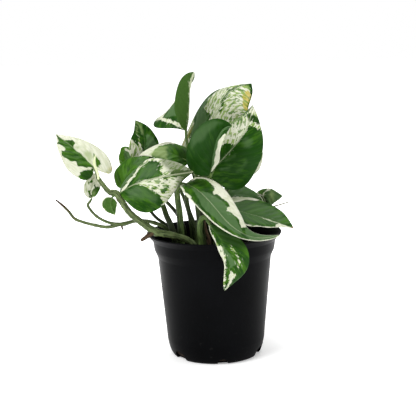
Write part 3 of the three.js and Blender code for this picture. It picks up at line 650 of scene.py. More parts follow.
class LeafShader(Shader):
    """The skin of a leaf: cream, green and grey-green areas from the painted values, broken up along the side
    veins. The values of cream, grey and the other kinds are millimetres inside the painted areas."""

    def __init__(self, name):
        super().__init__(name)
        self.streak = self.attribute("streak")
        self.strokes = self.attribute("strokes")
        self.painted = {}
        for attribute, kinds in PAINTED.items():
            self.painted.update(zip(kinds, self.split(self.attribute(attribute))))
        self.vein = self.math("COSINE", self.times(self.split(self.streak)[0], 2 * math.pi / VEIN_SPACING))
        waviness = self.ramp(self.painted["flecks"], 0.0, 1.0, 2.4, 6.0)
        self.jagged = self.times(self.less(self.noise(self.streak, 0.5, 4.0, 0.6), 0.5), waviness)
        self.rough_edge = self.times(self.jagged, 0.8)

    def area(self, color, kind, edge):
        """The colour with the kind's painted areas on it."""
        low, high, strength, paint = AREAS[kind]
        return self.mix(self.ramp(self.add(self.painted[kind], edge), low, high, 0.0, strength), color, paint)

    def cream_and_flecks(self):
        """How creamy the skin is, with cream specks beside the cream, and how green the flecks in it are."""
        depth, flecks = self.painted["cream"], self.painted["flecks"]
        cream = self.ramp(self.add(depth, self.jagged), -0.3, 0.3)
        speckle = self.noise(self.strokes, 0.26, 2.0, 0.55)
        level = self.less(0.72, self.times(flecks, 0.215))
        fleck = self.ramp(self.less(speckle, level), -0.015, 0.02)
        near_edge = self.ramp(self.math("ABSOLUTE", depth), 4.0, 0.5)
        spread = self.math("MAXIMUM", near_edge, self.ramp(flecks, 0.45, 0.9, 0.0, 0.9))
        fleck = self.times(fleck, self.times(spread, self.ramp(flecks, 0.0, 0.3)))
        pale_specks = self.ramp(self.less(speckle, 0.36), 0.03, -0.03)
        beside = self.times(self.ramp(depth, -3.0, -0.5), self.math("MINIMUM", flecks, 0.8))
        return self.math("MAXIMUM", cream, self.times(pale_specks, beside)), fleck

    def green(self):
        """Blotchy green with the grey, faint and dark areas, a little paler along the side veins. The dark
        areas are deeper green, and on some leaves painted shadow.
        """
        blotches = self.ramp(self.noise(self.streak, 0.22, 3.0, 0.6), 0.3, 0.7)
        lightness = self.ramp(self.add(blotches, self.painted["tone"]), 0.0, 1.2)
        color = self.mix(lightness, DEEP_GREEN, FRESH_GREEN)
        color = self.area(color, "grey", self.rough_edge)
        color = self.area(color, "faint", self.rough_edge)
        # dark areas: deeper green, and on some leaves painted shadow
        color = self.area(color, "dark", self.jagged)
        return self.mix(self.ramp(self.vein, 0.86, 1.0, 0.0, 0.06), color, GREY_GREEN)

    def cream_with(self, fleck):
        """Cream with its shading and its green flecks."""
        shading = self.ramp(self.noise(self.strokes, 0.24, 4.0, 0.6), 0.35, 0.7, 0.0, 0.8)
        green = self.mix(self.ramp(self.noise(self.strokes, 0.20, 1.0), 0.4, 0.6), FLECK_GREEN, FLECK_LIGHT)
        return self.mix(fleck, self.mix(shading, CREAM, CREAM_SHADE), green)

    def aged(self, color, cream):
        """The colour with its yellowed areas, weaker on the green, and its brown tip."""
        yellow = self.mix(self.ramp(self.noise(self.strokes, 0.20, 2.0), 0.42, 0.62), OCHRE, OCHRE_GREEN)
        ochre = self.ramp(self.add(self.painted["ochre"], self.times(self.jagged, 1.2)), -0.5, 1.4)
        color = self.mix(self.times(ochre, self.ramp(cream, 0.0, 1.0, 0.35, 0.85)), color, yellow)
        return self.mix(self.ramp(self.painted["brown"], 0.0, 1.2), color, TIP_BROWN)


def leaf_material(name, under=False):
    s = LeafShader(name)
    place = s.attribute("place")
    cream, fleck = s.cream_and_flecks()
    color = s.mix(cream, s.green(), s.cream_with(fleck))
    color = s.area(color, "pale", s.rough_edge)
    # painted shade: darkens the blade toward olive where other leaves shadow it
    color = s.area(color, "shade", s.rough_edge)
    near_rib = s.ramp(s.math("ABSOLUTE", s.split(place)[1]), 0.6, 0.2)
    color = s.mix(s.times(near_rib, s.painted["rib"]), color, CREAM_SHADE)
    color = s.mix(s.ramp(s.painted["rim"], 0.55, 0.2, 0.0, 0.5), color, CREAM)
    color = s.aged(color, cream)
    grain = s.noise(place, 3.0, 3.0)
    if under:
        matte = s.mix(s.times(cream, 0.9), UNDER_GREEN, UNDER_CREAM)
        relief = s.add(s.times(s.vein, 0.5), grain)
        return s.finish(s.mix(0.85, color, matte), 0.6, 0.08, Normal=s.bump(relief, 0.0001))
    relief = s.add(s.times(s.vein, -0.4), s.times(grain, 0.5))
    return s.finish(color, s.ramp(grain, 0.3, 0.7, 0.34, 0.44), 0.07, Normal=s.bump(relief, 0.0001))


# Stem skins, fresh and in their streaks. The petiole and stem colours also stand for the lit and the
# shaded sides of a stem: partly painted highlight and painted shade, laid on in random streaks
PETIOLE_GREENS_AND_SHADE = ((0.115, 0.180, 0.050), (0.024, 0.050, 0.012))
STEM_GREENS_AND_SHADE = ((0.150, 0.200, 0.075), (0.022, 0.038, 0.011))
STRAW = ((0.21, 0.22, 0.10), (0.14, 0.13, 0.065))
BUD_CREAMS = ((0.70, 0.72, 0.50), (0.52, 0.60, 0.30))
# painted shade: the colour petioles take low down among the stems
PAINTED_STEM_SHADE = (0.016, 0.022, 0.008)
DRY_BROWNS = ((0.022, 0.014, 0.009), (0.11, 0.070, 0.038))


def stem_material(name, colors, roughness=0.5):
    """Stem skin: green with long dark streaks, turning brown where the painted dryness says so. The light
    and dark of the streaks is partly painted highlight and painted shade, and petioles get painted shade
    low down among the stems.
    """
    s = Shader(name)
    place = s.attribute("place")
    dryness, painted_shade_low, _ = s.split(s.attribute("look"))
    streaks = s.noise(place, 1.4, 3.0, 0.6)
    # the streaks: real streaking, and partly painted highlight and painted shade
    color = s.mix(s.ramp(streaks, 0.28, 0.72), *reversed(colors))
    # painted shade: darker low down on the petioles, where the stems stand in each other's shade
    color = s.mix(s.times(painted_shade_low, 0.85), color, PAINTED_STEM_SHADE)
    spots = s.noise(place, 0.6, 4.0, 0.7)
    worn = s.ramp(s.add(dryness, s.times(s.less(spots, 0.5), 1.2)), 0.35, 0.65)
    color = s.mix(worn, color, s.mix(s.ramp(spots, 0.35, 0.65), *DRY_BROWNS))
    return s.finish(color, s.ramp(worn, 0.0, 1.0, roughness, 0.85), 0.16, Normal=s.bump(streaks, 0.0002))


POT_BLACKS = ((0.0010, 0.0011, 0.0014), (0.0018, 0.0020, 0.0026))
DUST = (0.09, 0.085, 0.08)
DUST_HEIGHT = 0.03  # metres


def pot_material():
    """Moulded black polypropylene with a fine skin, soft clouds in its gloss and a little dust low down."""
    s = Shader("pot_black_plastic")
    place = s.place()
    skin = s.noise(place, 900.0, 2.0)
    clouds = s.noise(place, 28.0, 4.0, 0.6)
    low = s.ramp(s.split(place)[2], DUST_HEIGHT, 0.0, 0.0, 0.12)
    dust = s.times(s.ramp(s.noise(place, 260.0, 3.0, 0.7), 0.62, 0.75), s.add(low, 0.03))
    color = s.mix(dust, s.mix(s.ramp(clouds, 0.35, 0.7), *POT_BLACKS), DUST)
    relief = s.add(s.times(skin, 0.4), s.times(clouds, 2.0))
    return s.finish(color, s.ramp(clouds, 0.3, 0.7, 0.36, 0.46), 0.03, Normal=s.bump(relief, 0.00006))


SOIL_BROWNS = ((0.0045, 0.0032, 0.0024), (0.030, 0.019, 0.012))
SOIL_LIGHT = (0.045, 0.030, 0.018)
BARK_BROWNS = ((0.020, 0.011, 0.006), (0.085, 0.046, 0.024))
PERLITE_WHITES = ((0.36, 0.35, 0.32), (0.60, 0.59, 0.55))
GRIT_GOLDS = ((0.30, 0.17, 0.04), (0.50, 0.34, 0.10))


def soil_material():
    """Dark crumbly potting mix with a few lighter patches."""
    s = Shader("potting_soil")
    crumbs = s.noise(s.place(), 320.0, 5.0, 0.65)
    patches = s.noise(s.place(), 60.0, 3.0)
    color = s.mix(s.ramp(crumbs, 0.35, 0.65), *SOIL_BROWNS)
    color = s.mix(s.ramp(patches, 0.55, 0.75, 0.0, 0.4), color, SOIL_LIGHT)
    return s.finish(color, 0.95, 0.15, Normal=s.bump(crumbs, 0.0012))


def speckled_material(name, colors, scale, roughness):
    """A grainy material between two colours."""
    s = Shader(name)
    grain = s.noise(s.place(), scale, 4.0, 0.6)
    color = s.mix(s.ramp(grain, 0.35, 0.65), *colors)
    return s.finish(color, roughness, 0.2, Normal=s.bump(grain, 0.0004))


LEAF_TOP = leaf_material("leaf_upper_skin")
LEAF_UNDER = leaf_material("leaf_under_skin", under=True)
PETIOLE = stem_material("petiole_skin", PETIOLE_GREENS_AND_SHADE, 0.42)
STEM = stem_material("stem_skin", STEM_GREENS_AND_SHADE)
DRY = stem_material("dry_skin", STRAW, 0.8)
PALE_BUD = stem_material("new_leaf_skin", BUD_CREAMS)


# Mesh helpers


def unit(vectors):
    return vectors / np.maximum(np.linalg.norm(vectors, axis=-1, keepdims=True), 1e-12)


def make_object(name, points, faces, materials, slots=None, fields=None):
    """A smooth-shaded mesh object from points in metres, with named vector fields on its points."""
    mesh = bpy.data.meshes.new(name)
    mesh.from_pydata([tuple(p) for p in points], [], [tuple(int(k) for k in f) for f in faces])
    for material in materials:
        mesh.materials.append(material)
    mesh.polygons.foreach_set("use_smooth", [True] * len(mesh.polygons))
    if slots is not None:
        mesh.polygons.foreach_set("material_index", slots)
    for key, values in (fields or {}).items():
        attribute = mesh.attributes.new(key, "FLOAT_VECTOR", "POINT")
        attribute.data.foreach_set("vector", np.asarray(values, np.float32).ravel())
    mesh.update()
    made = bpy.data.objects.new(name, mesh)
    bpy.context.scene.collection.objects.link(made)
    return made


def declare(piece, node):
    """The piece stands for a node of the solids: it hangs on the root body, and the node's own part is hidden.
    """
    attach(piece, "root")
    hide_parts(node)


def shifted(faces, shift):
    return [tuple(k + shift for k in face) for face in faces]


def smooth_path(points, steps):
    """Points of a centripetal Catmull-Rom curve through the given points."""
    p = np.array(points, float)
    p = np.vstack([2 * p[0] - p[1], p, 2 * p[-1] - p[-2]])
    last = len(points) - 1
    path = []
    for u in np.linspace(0, last, steps):
        k = min(int(u), last - 1)
        w = u - k
        a, b, c, d = p[k], p[k + 1], p[k + 2], p[k + 3]
        d0, d1, d2 = (max(float(np.dot(q, q)), 1e-9) ** 0.25 for q in (b - a, c - b, d - c))
        m1 = ((b - a) / d0 - (c - a) / (d0 + d1) + (c - b) / d1) * d1
        m2 = ((c - b) / d1 - (d - b) / (d1 + d2) + (d - c) / d2) * d1
        path.append(
            (2 * w**3 - 3 * w**2 + 1) * b + (w**3 - 2 * w**2 + w) * m1
            + (3 * w**2 - 2 * w**3) * c + (w**3 - w**2) * m2
        )
    return np.array(path)


def stem_swell(lengths, rings):
    """How much thicker a stem is along its length: a bulge at each ring and two slow waves."""
    share = lengths / lengths[-1]
    bulge = np.ones_like(share)
    for ring in rings:
        bulge += RING_SWELL * np.exp(-(((share - ring) / RING_REACH) ** 2))
    return bulge + 0.03 * np.sin(lengths * 1.3) + 0.02 * np.sin(lengths * 3.1 + 1)


def tube(points, radii, sides, steps, rings=None):
    """A round tube along a smooth path, closed by rounded ends: its points, its faces and the place of each
    point in the noise of its skin. With rings, a list of places from 0 to 1, it swells as a stem does."""
    path = smooth_path(points, steps)
    radius = np.interp(np.linspace(0, len(points) - 1, steps), np.arange(len(points)), radii)
    along = unit(np.gradient(path, axis=0))
    lengths = np.concatenate([[0], np.cumsum(np.linalg.norm(np.diff(path, axis=0), axis=1))])
    if rings is not None:
        radius = radius * stem_swell(lengths, rings)
    angles = np.linspace(0, 2 * np.pi, sides, endpoint=False)
    cos, sin = np.cos(angles), np.sin(angles)
    across = np.array([1.0, 0.0, 0.0])
    verts, places = [], []
    for k in range(steps):
        across = unit(across - np.dot(across, along[k]) * along[k])
        up = np.cross(along[k], across)
        verts.extend(path[k] + radius[k] * (cos[:, None] * across + sin[:, None] * up))
        start = np.full(sides, lengths[k] * STREAK_ALONG)
        places.extend(np.stack([start, cos * STREAK_ROUND, sin * STREAK_ROUND], 1))
    edges = [(j, (j + 1) % sides) for j in range(sides)]
    faces = []
    for ring in range(0, (steps - 1) * sides, sides):
        faces += [(ring + a, ring + b, ring + b + sides, ring + a + sides) for a, b in edges]
    for k, sign in ((0, -1), (steps - 1, 1)):
        tip, ring = len(verts), k * sides
        verts.append(path[k] + sign * along[k] * radius[k] * END_ROUND)
        places.append((lengths[k] * STREAK_ALONG, 0, 0))
        faces += [(ring + b, ring + a, tip) if sign < 0 else (ring + a, ring + b, tip) for a, b in edges]
    return np.array(verts), faces, np.array(places)


# Leaves


def direction(face):
    """A direction from its azimuth (from -Y toward +X) and its elevation."""
    a, e = math.radians(face[0]), math.radians(face[1])
    return np.array([math.sin(a) * math.cos(e), -math.cos(a) * math.cos(e), math.sin(e)])


def rib_curve(rib, t):
    """The cubic through the midrib's four points."""
    knots = (0, 1 / 3, 2 / 3, 1)
    total = 0
    for i in range(4):
        weight = np.ones_like(t)
        for j in range(4):
            if j != i:
                weight = weight * (t - knots[j]) / (knots[i] - knots[j])
        total = total + weight[..., None] * np.array(rib[i], float)
    return total


def rib_at(rib, t):
    """Points of the midrib and its direction there. Past its ends it runs on straight."""
    near = np.clip(t, 0, 1)
    before, after = np.maximum(near - 0.001, 0), np.minimum(near + 0.001, 1)
    slope = (rib_curve(rib, after) - rib_curve(rib, before)) / (after - before)[..., None]
    return rib_curve(rib, near) + slope * (t - near)[..., None], unit(slope)


def by_half(s, pair, part=None):
    """The left half's value where s is negative and the right half's elsewhere, or one part of the value."""
    left, right = pair if part is None else (value[part] for value in pair)
    return np.where(s < 0, left, right)


def half_width(leaf, t, s, least=0, blunt=True):
    """How wide a leaf's half is at t, in millimetres, with or without the bluntness of its outline."""
    rise = np.maximum(np.sin(np.pi * t ** by_half(s, leaf["shape"], 0)), least)
    return by_half(s, leaf["half"]) * (rise ** by_half(s, leaf["shape"], 1) if blunt else rise)


def blade_surface(leaf, t, s):
    """Points of a leaf's middle surface: t from base to tip, s from the left margin (-1) to the right (1)."""
    out = np.abs(s)
    station = t - by_half(s, leaf["shape"], 2) * t * (1 - t) ** 3 * out**1.5
    point, along = rib_at(leaf["rib"], station)
    share = np.clip(station, 0, 1)[..., None]
    normal = direction(leaf["face"][0]) * (1 - share) + direction(leaf["face"][1]) * share
    normal = unit(normal - (normal * along).sum(-1, keepdims=True) * along)
    sideways = np.cross(along, normal) * by_half(s, (-1.0, 1.0))[..., None]
    width = half_width(leaf, t, s)
    fold_base, fold_tip = (by_half(s, leaf["fold"], part) for part in (0, 1))
    fold = np.radians(fold_base + (fold_tip - fold_base) * t)
    curl = np.radians(by_half(s, leaf["curl"]))
    curl = np.where(np.abs(curl) < 1e-6, 1e-6, curl)
    lateral = (np.sin(fold + curl * out) - np.sin(fold)) / curl
    raised = (np.cos(fold) - np.cos(fold + curl * out)) / curl
    return point + sideways * (width * lateral)[..., None] + normal * (width * raised)[..., None]


def blade_grid():
    """The blade's points as t and s, first its base and tip, and the numbers of the others in rows."""
    u = np.linspace(0, 1, BLADE_STEPS + 1)[1:-1]
    rows = 0.5 * u + 0.25 * (1 - np.cos(np.pi * u))
    t, s = np.meshgrid(rows, np.linspace(-1, 1, 2 * HALF_STEPS + 1), indexing="ij")
    numbers = 2 + np.arange(t.size).reshape(t.shape)
    return np.concatenate([[0.0, 1.0], t.ravel()]), np.concatenate([[0.0, 0.0], s.ravel()]), numbers


def blade_faces(grid):
    """The faces of one side of the blade: four-sided ones, and a fan at each end."""
    faces = []
    for row, next_row in zip(grid[:-1], grid[1:]):
        faces += list(zip(row[:-1], row[1:], next_row[1:], next_row[:-1]))
    for k in range(len(grid[0]) - 1):
        faces += [(0, grid[0][k + 1], grid[0][k]), (1, grid[-1][k], grid[-1][k + 1])]
    return faces


def margin_faces(grid, count):
    """The faces of the blade's two margins, between its upper points and its lower ones, count higher."""
    faces = []
    for column, order in ((0, 1), (-1, -1)):
        line = [0, *grid[:, column], 1]
        faces += [(a, b, b + count, a + count)[::order] for a, b in zip(line[:-1], line[1:])]
    return faces


BLADE_T, BLADE_S, BLADE_GRID = blade_grid()
BLADE_OUT = np.abs(BLADE_S)
ONE_SIDE = blade_faces(BLADE_GRID)


def point_normals(points):
    """The direction that the blade faces at each point."""
    normals = np.zeros_like(points)
    for face in ONE_SIDE:
        a, b, c = (points[k] for k in face[:3])
        normal = np.cross(b - a, c - a)
        for k in face:
            normals[k] += normal
    return unit(normals)


def blade_slant(across, length, slant):
    """How far along the blade each point lies, where lines that slant toward the tip count as level."""
    return BLADE_T * length - slant * np.abs(across)


def blade_points(leaf, across, length, seed):
    """Upper and lower points of the blade: even in thickness but for the margin, with ripples, a quilt
    between the side veins, and a groove above the midrib with a ridge below it."""
    t, s, out = BLADE_T, BLADE_S, BLADE_OUT
    middle = blade_surface(leaf, t, s)
    normals = point_normals(middle)
    phases = np.random.default_rng(seed).uniform(0, 2 * np.pi, 4)
    ripple = MARGIN_RIPPLE * out**2 * np.sin(15 * t + phases[0] + 2 * np.sign(s)) * np.sin(np.pi * t) ** 0.5
    ripple += LONG_WAVE * np.sin(9 * t + 3 * s + phases[1]) + SHORT_WAVE * np.sin(23 * t - 6 * s + phases[2])
    veins = np.cos(2 * np.pi * blade_slant(across, length, VEIN_SLANT) / VEIN_SPACING)
    quilt = VEIN_QUILT * veins * np.clip(out * 4, 0, 1) * np.clip((1 - out) * 4, 0, 1)
    groove = np.exp(-((across / RIB_WIDTH) ** 2))
    thick = 0.5 * BLADE_THICKNESS * (1 - MARGIN_THINNING * out**5)
    ends = np.clip(np.minimum(t, 1 - t) * 12, 0.15, 1)
    upper = middle + normals * (thick + (ripple - quilt - RIB_GROOVE * groove) * ends)[:, None]
    lower = middle - normals * (thick - (ripple - quilt) * ends + RIB_RIDGE * groove * ends)[:, None]
    return upper, lower


def oval_depth(oval, x, y, to_place):
    """How far inside an oval each point lies, in millimetres, negative outside."""
    t, s, size_t, size_s, turn = (*oval, 0)[:5]
    centre = to_place(t, s)
    radii = to_place(size_t, 0)[0], to_place(50, size_s)[1]
    c, d = math.cos(math.radians(turn)), math.sin(math.radians(turn))
    u = (c * (x - centre[0]) + d * (y - centre[1])) / radii[0]
    v = (c * (y - centre[1]) - d * (x - centre[0])) / radii[1]
    return (1 - np.hypot(u, v)) * min(radii)


def patch_depth(patch, x, y, to_place):
    """How far inside a patch each point lies, in millimetres, negative outside."""
    if len(patch) > 3:
        return oval_depth(patch[1:], x, y, to_place)
    line = np.array([to_place(t, s) for t, s in patch[1]])
    closed = len(patch) == 2
    starts, ends = (line, np.roll(line, -1, axis=0)) if closed else (line[:-1], line[1:])
    nearest = np.full_like(x, np.inf)
    inside = np.zeros(len(x), bool)
    for a, b in zip(starts, ends):
        step = b - a
        share = np.clip(((x - a[0]) * step[0] + (y - a[1]) * step[1]) / max(float(step @ step), 1e-9), 0, 1)
        nearest = np.minimum(nearest, np.hypot(x - a[0] - share * step[0], y - a[1] - share * step[1]))
        rise = step[1] if abs(step[1]) > 1e-9 else 1e-9
        inside ^= ((a[1] > y) != (b[1] > y)) & (x < a[0] + (y - a[1]) * step[0] / rise)
    return np.where(inside, nearest, -nearest) if closed else patch[2] - nearest


def patch_depths(leaf, look, length, seed):
    """How far inside the patches of each kind the blade's points lie, in millimetres."""

    def place(t, s):
        return t * length, s * half_width(leaf, np.clip(t, 0, 1), s, LEAST_WIDTH)

    def place_percent(t, s):
        return place(t / 100, s / 100)

    t, s = BLADE_T, BLADE_S
    phases = np.random.default_rng(seed).uniform(0, 2 * np.pi, 4)
    wobble_t = t + 0.008 * np.sin(9 * s + phases[0]) + 0.005 * np.sin(21 * s + phases[1])
    wobble_s = s + 0.02 * np.sin(17 * t + phases[2]) + 0.015 * np.sin(41 * t + phases[3])
    x, y = place(wobble_t, wobble_s)
    kinds = ("cream", "grey", "faint", "pale", "dark", "shade", "ochre", "brown")
    depths = {kind: np.full_like(t, -FAR_OUTSIDE) for kind in kinds}
    if look["ground"] == "cream":
        depths["cream"] += 2 * FAR_OUTSIDE
    for patch in look["patches"]:
        kind = patch[0]
        depth = patch_depth(patch, x, y, place_percent)
        if kind == "green":
            depths["cream"] = np.minimum(depths["cream"], -depth)
        else:
            depths[kind] = np.maximum(depths[kind], depth)
    margin = by_half(s, look["margin"])
    band = (np.abs(wobble_s) - (1 - margin)) * np.abs(place(t, np.sign(s))[1])
    depths["cream"] = np.maximum(depths["cream"], np.where(margin > 0.01, band, -FAR_OUTSIDE))
    return depths


def blade_fields(leaf, look, across, length, seed):
    """The painted values of the blade's points, and their places in the noise of its skin. The noise is cut
    between the halves, and is another stretch of it on each leaf."""
    count = len(BLADE_T)
    values = patch_depths(leaf, look, length, seed)
    width = half_width(leaf, BLADE_T, BLADE_S, blunt=False)
    values["rim"] = np.where(by_half(BLADE_S, look["margin"]) > 0, (1 - BLADE_OUT) * width, FAR_OUTSIDE)
    for key in PAINTED["look"]:
        values[key] = np.full(count, look[key])
    fields = {name: np.stack([values[kind] for kind in kinds], 1) for name, kinds in PAINTED.items()}
    fields["place"] = np.stack([BLADE_T * length, across, np.full(count, seed * PLACE_APART)], 1)
    for name, slant, stretch in (("streak", VEIN_SLANT, 0.55), ("strokes", STROKE_SLANT, 2)):
        along = blade_slant(across, length, slant)
        aside = np.abs(across) * stretch + np.sign(BLADE_S) * HALVES_APART
        fields[name] = np.stack([along, aside, np.full(count, seed * STREAKS_APART)], 1)
    return fields


def bury(points):
    """A stem's points, with one more below the soil."""
    return [(*points[0][:2], STEM_DEPTH), *points]


def make_petiole(leaf, look, seed):
    """The petiole's points and faces, its place in the noise, and how dry it is and how much painted shade
    darkens it low down among the stems.
    """
    start = [leaf["on_vine"]] if "on_vine" in leaf else bury(leaf["petiole"])
    under = direction(leaf["face"][0]) * -PETIOLE_SEAT
    path = [*start, *(rib_at(leaf["rib"], np.array(t))[0] + under for t in (0.0, PETIOLE_REACH))]
    last = len(start)
    radii = [leaf["girth"] * (1 + (TAPER - 1) * k / last) for k in range(last + 1)] + [PETIOLE_END_RADIUS]
    points, faces, place = tube(path, radii, PETIOLE_SIDES, PETIOLE_STEPS * len(path))
    height = points[:, 2]
    dry_height, dry_reach, driest = PETIOLE_DRY
    shade_height, shade_reach = PETIOLE_LOW_SHADE
    dryness = np.clip((dry_height - height) / dry_reach, 0, driest)
    # painted shade low on the petiole, less for leaves with a bright stalk
    painted_shade_low = (1 - look["stalk"]) * np.clip((shade_height - height) / shade_reach, 0, 1)
    skin = np.stack([dryness, painted_shade_low, np.zeros(len(points))], 1)
    return points, faces, {"place": place + [0, 0, seed * PETIOLES_APART], "look": skin}


def make_leaf(name, leaf, look, seed):
    """One leaf: a thin blade with its midrib and side veins, joined to its petiole."""
    rib_points = rib_curve(leaf["rib"], np.linspace(0, 1, RIB_STEPS))
    length = float(np.linalg.norm(np.diff(rib_points, axis=0), axis=1).sum())
    across = BLADE_S * half_width(leaf, BLADE_T, BLADE_S, blunt=False)
    upper, lower = blade_points(leaf, across, length, seed)
    count = len(upper)
    under = [face[::-1] for face in shifted(ONE_SIDE, count)]
    margins = margin_faces(BLADE_GRID, count)
    petiole, petiole_faces, petiole_fields = make_petiole(leaf, look, seed)
    faces = [*ONE_SIDE, *under, *margins, *shifted(petiole_faces, 2 * count)]
    slots = [0] * len(ONE_SIDE) + [1] * len(under) + [0] * len(margins) + [2] * len(petiole_faces)
    fields = {
        key: np.vstack([values, values, petiole_fields.get(key, np.zeros_like(petiole))])
        for key, values in blade_fields(leaf, look, across, length, seed).items()
    }
    points = np.vstack([upper, lower, petiole]) * MM
    made = make_object(name + "_leaf", points, faces, [LEAF_TOP, LEAF_UNDER, PETIOLE], slots, fields)
    declare(made, name)


for number, (leaf_name, leaf) in enumerate(LEAVES.items()):
    make_leaf(leaf_name, leaf, LOOKS[leaf_name], number + 1)


# Stems


def make_stems(name, node, material, lines):
    """One object from several stems. Each has its points and radii, how dry it is along its length, and the
    places of its rings."""
    points, faces, places, looks = [], [], [], []
    count = 0
    for number, ((path, radii), dry, rings) in enumerate(lines):
        verts, sides, place = tube(path, radii, STEM_SIDES, STEM_STEPS * len(path), rings)
        share = place[:, 0] / place[:, 0].max()
        dryness = np.interp(share, *zip(*dry))
        for ring in rings:
            stain = RING_STAIN * np.exp(-(((share - ring) / STAIN_REACH) ** 2))
            dryness = np.maximum(dryness, stain)
        faces += shifted(sides, count)
        count += len(verts)
        points.append(verts)
        places.append(place + [0, 0, number * STEMS_APART])
        looks.append(np.stack([dryness, np.zeros(len(verts)), np.zeros(len(verts))], 1))
    fields = {"place": np.vstack(places), "look": np.vstack(looks)}
    made = make_object(name, np.vstack(points) * MM, faces, [material], None, fields)
    declare(made, node)


def buried(stem):
    points, radii = stem
    return bury(points), [radii[0], *radii]


make_stems("trailing_vine", "vine", STEM, [
    (buried(VINE), MOSTLY_GREEN, [0.32, 0.44, 0.78, 0.86]),
    (AERIAL_ROOT, BROWN_ROOT, []),
])
make_stems("thin_vine_stem", "thin_vine", STEM, [
    (buried(THIN_VINE), GREEN, [0.4, 0.62, 0.85]),
    (DRIED_END, DRYING, [0.35, 0.62]),
    (DEAD_ROOT, DEAD, []),
])
make_stems("dried_sheath", "dry_sheath", DRY, [(buried(DRY_SHEATH), BROWN, [])])
make_stems("dried_stalk", "dry_stalk", DRY, [(buried(DRY_STALK), BROWN_FOOT, [])])
make_stems("rolled_new_leaf", "new_leaf", PALE_BUD, [(NEW_LEAF, FRESH, [])])


# Pot


def turn(profile, sides):
    """Points and faces of a profile of (radius, height) turned about the axis. Radius 0 is on the axis."""
    verts, rows = [], []
    angles = np.linspace(0, 2 * np.pi, sides, endpoint=False)
    for radius, z in profile:
        if radius == 0:
            rows.append([len(verts)] * sides)
            verts.append((0, 0, z))
        else:
            rows.append(list(range(len(verts), len(verts) + sides)))
            verts.extend((radius * math.cos(a), radius * math.sin(a), z) for a in angles)
    faces = []
    for lower, upper in zip(rows[:-1], rows[1:]):
        for k in range(sides):
            n = (k + 1) % sides
            face = [lower[k], lower[n], upper[n], upper[k]]
            faces.append(tuple(dict.fromkeys(face)))
    return np.array(verts, float), faces


def rounded(profile, radius):
    """The profile with each inner corner replaced by three points of a small round."""
    made = [profile[0]]
    for before, corner, after in zip(profile[:-2], profile[1:-1], profile[2:]):
        c = np.array(corner, float)
        a, b = np.array(before, float) - c, np.array(after, float) - c
        reach = min(radius, 0.4 * np.linalg.norm(a), 0.4 * np.linalg.norm(b))
        start, end = c + unit(a) * reach, c + unit(b) * reach
        made += [tuple(start), tuple(0.25 * start + 0.5 * c + 0.25 * end), tuple(end)]
    return made + [profile[-1]]


def notch_cutter(angle, size):
    """A block with a round top that cuts one drain notch into the pot's lower corner."""
    width, height = size
    straight = height * NOTCH_STRAIGHT
    outline = [(-width / 2, -2), (width / 2, -2), (width / 2, straight)]
    for k in range(1, NOTCH_ARC_STEPS):
        a = math.pi * k / NOTCH_ARC_STEPS
        rise = NOTCH_STRAIGHT + (1 - NOTCH_STRAIGHT) * math.sin(a)
        outline.append((width / 2 * math.cos(a), height * rise))
    outline.append((-width / 2, straight))
    count = len(outline)
    points = [(BASE_RADIUS + depth, y, z) for depth in NOTCH_DEPTH for y, z in outline]
    turned_points = [Matrix.Rotation(math.radians(angle), 3, "Z") @ Vector(p) * MM for p in points]
    faces = [tuple(range(count)), tuple(reversed(range(count, 2 * count)))]
    faces += [(k, k + count, (k + 1) % count + count, (k + 1) % count) for k in range(count)]
    cutter = make_object("cutter", turned_points, faces, [])
    bm = bmesh.new()
    bm.from_mesh(cutter.data)
    bmesh.ops.recalc_face_normals(bm, faces=bm.faces)
    bm.to_mesh(cutter.data)
    bm.free()
    return cutter


def cut_notches(pot):
    """Cuts the drain notches, large and small in turn, and shades the pot anew."""
    cutters = []
    for k in range(NOTCH_COUNT):
        angle = NOTCH_START + 360 / NOTCH_COUNT * k
        cutters += [notch_cutter(angle, BIG_NOTCH), notch_cutter(angle + 180 / NOTCH_COUNT, SMALL_NOTCH)]
    for cutter in cutters:
        cut = pot.modifiers.new("drain", "BOOLEAN")
        cut.operation = "DIFFERENCE"
        cut.solver = "EXACT"
        cut.object = cutter
    carved = bpy.data.meshes.new_from_object(pot.evaluated_get(bpy.context.evaluated_depsgraph_get()))
    pot.modifiers.clear()
    pot.data = carved
    for cutter in cutters:
        bpy.data.objects.remove(cutter)
    carved.polygons.foreach_set("use_smooth", [True] * len(carved.polygons))
    carved.set_sharp_from_angle(angle=math.radians(SHARP_ANGLE))


def make_pot():
    """The pot: from the base up the outside over its band and lip, and down the inside to the floor."""
    outside = [
        (0, 0), (BASE_RADIUS, 0), (FOOT_LOW_RADIUS, 2.2), (37.6, 4.8), (FOOT_HIGH_RADIUS, 8), (39.4, 12.6),
        (WALL_FOOT_RADIUS, 17.9), (WALL_TOP_RADIUS, 80), (STEP_LOW_RADIUS, 81.8), (STEP_HIGH_RADIUS, 85.9),
        (BAND_FOOT_RADIUS, 89.2), (BAND_RADIUS, 93.5), (53, 97.6), (LIP_RADIUS, 98.6),
        (LIP_RADIUS, POT_HEIGHT),
    ]
    inside = [
        (LIP_RADIUS, POT_HEIGHT), (BAND_RADIUS, 94.3), (BAND_FOOT_RADIUS, 89.4), (STEP_HIGH_RADIUS, 86.3),
        (STEP_LOW_RADIUS, 82.2), (WALL_TOP_RADIUS, 80.2), (WALL_FOOT_RADIUS, 18), (FOOT_HIGH_RADIUS, 8.2),
        (FOOT_LOW_RADIUS, 3.4), (BASE_RADIUS, FLOOR),
    ]
    inside = [(radius - WALL, z) for radius, z in inside]
    verts, faces = turn(rounded([*outside, *inside, (0, FLOOR)], POT_ROUND), POT_SIDES)
    pot = make_object("nursery_pot", verts * MM, faces, [pot_material()])
    cut_notches(pot)
    declare(pot, "pot")


make_pot()


# Soil


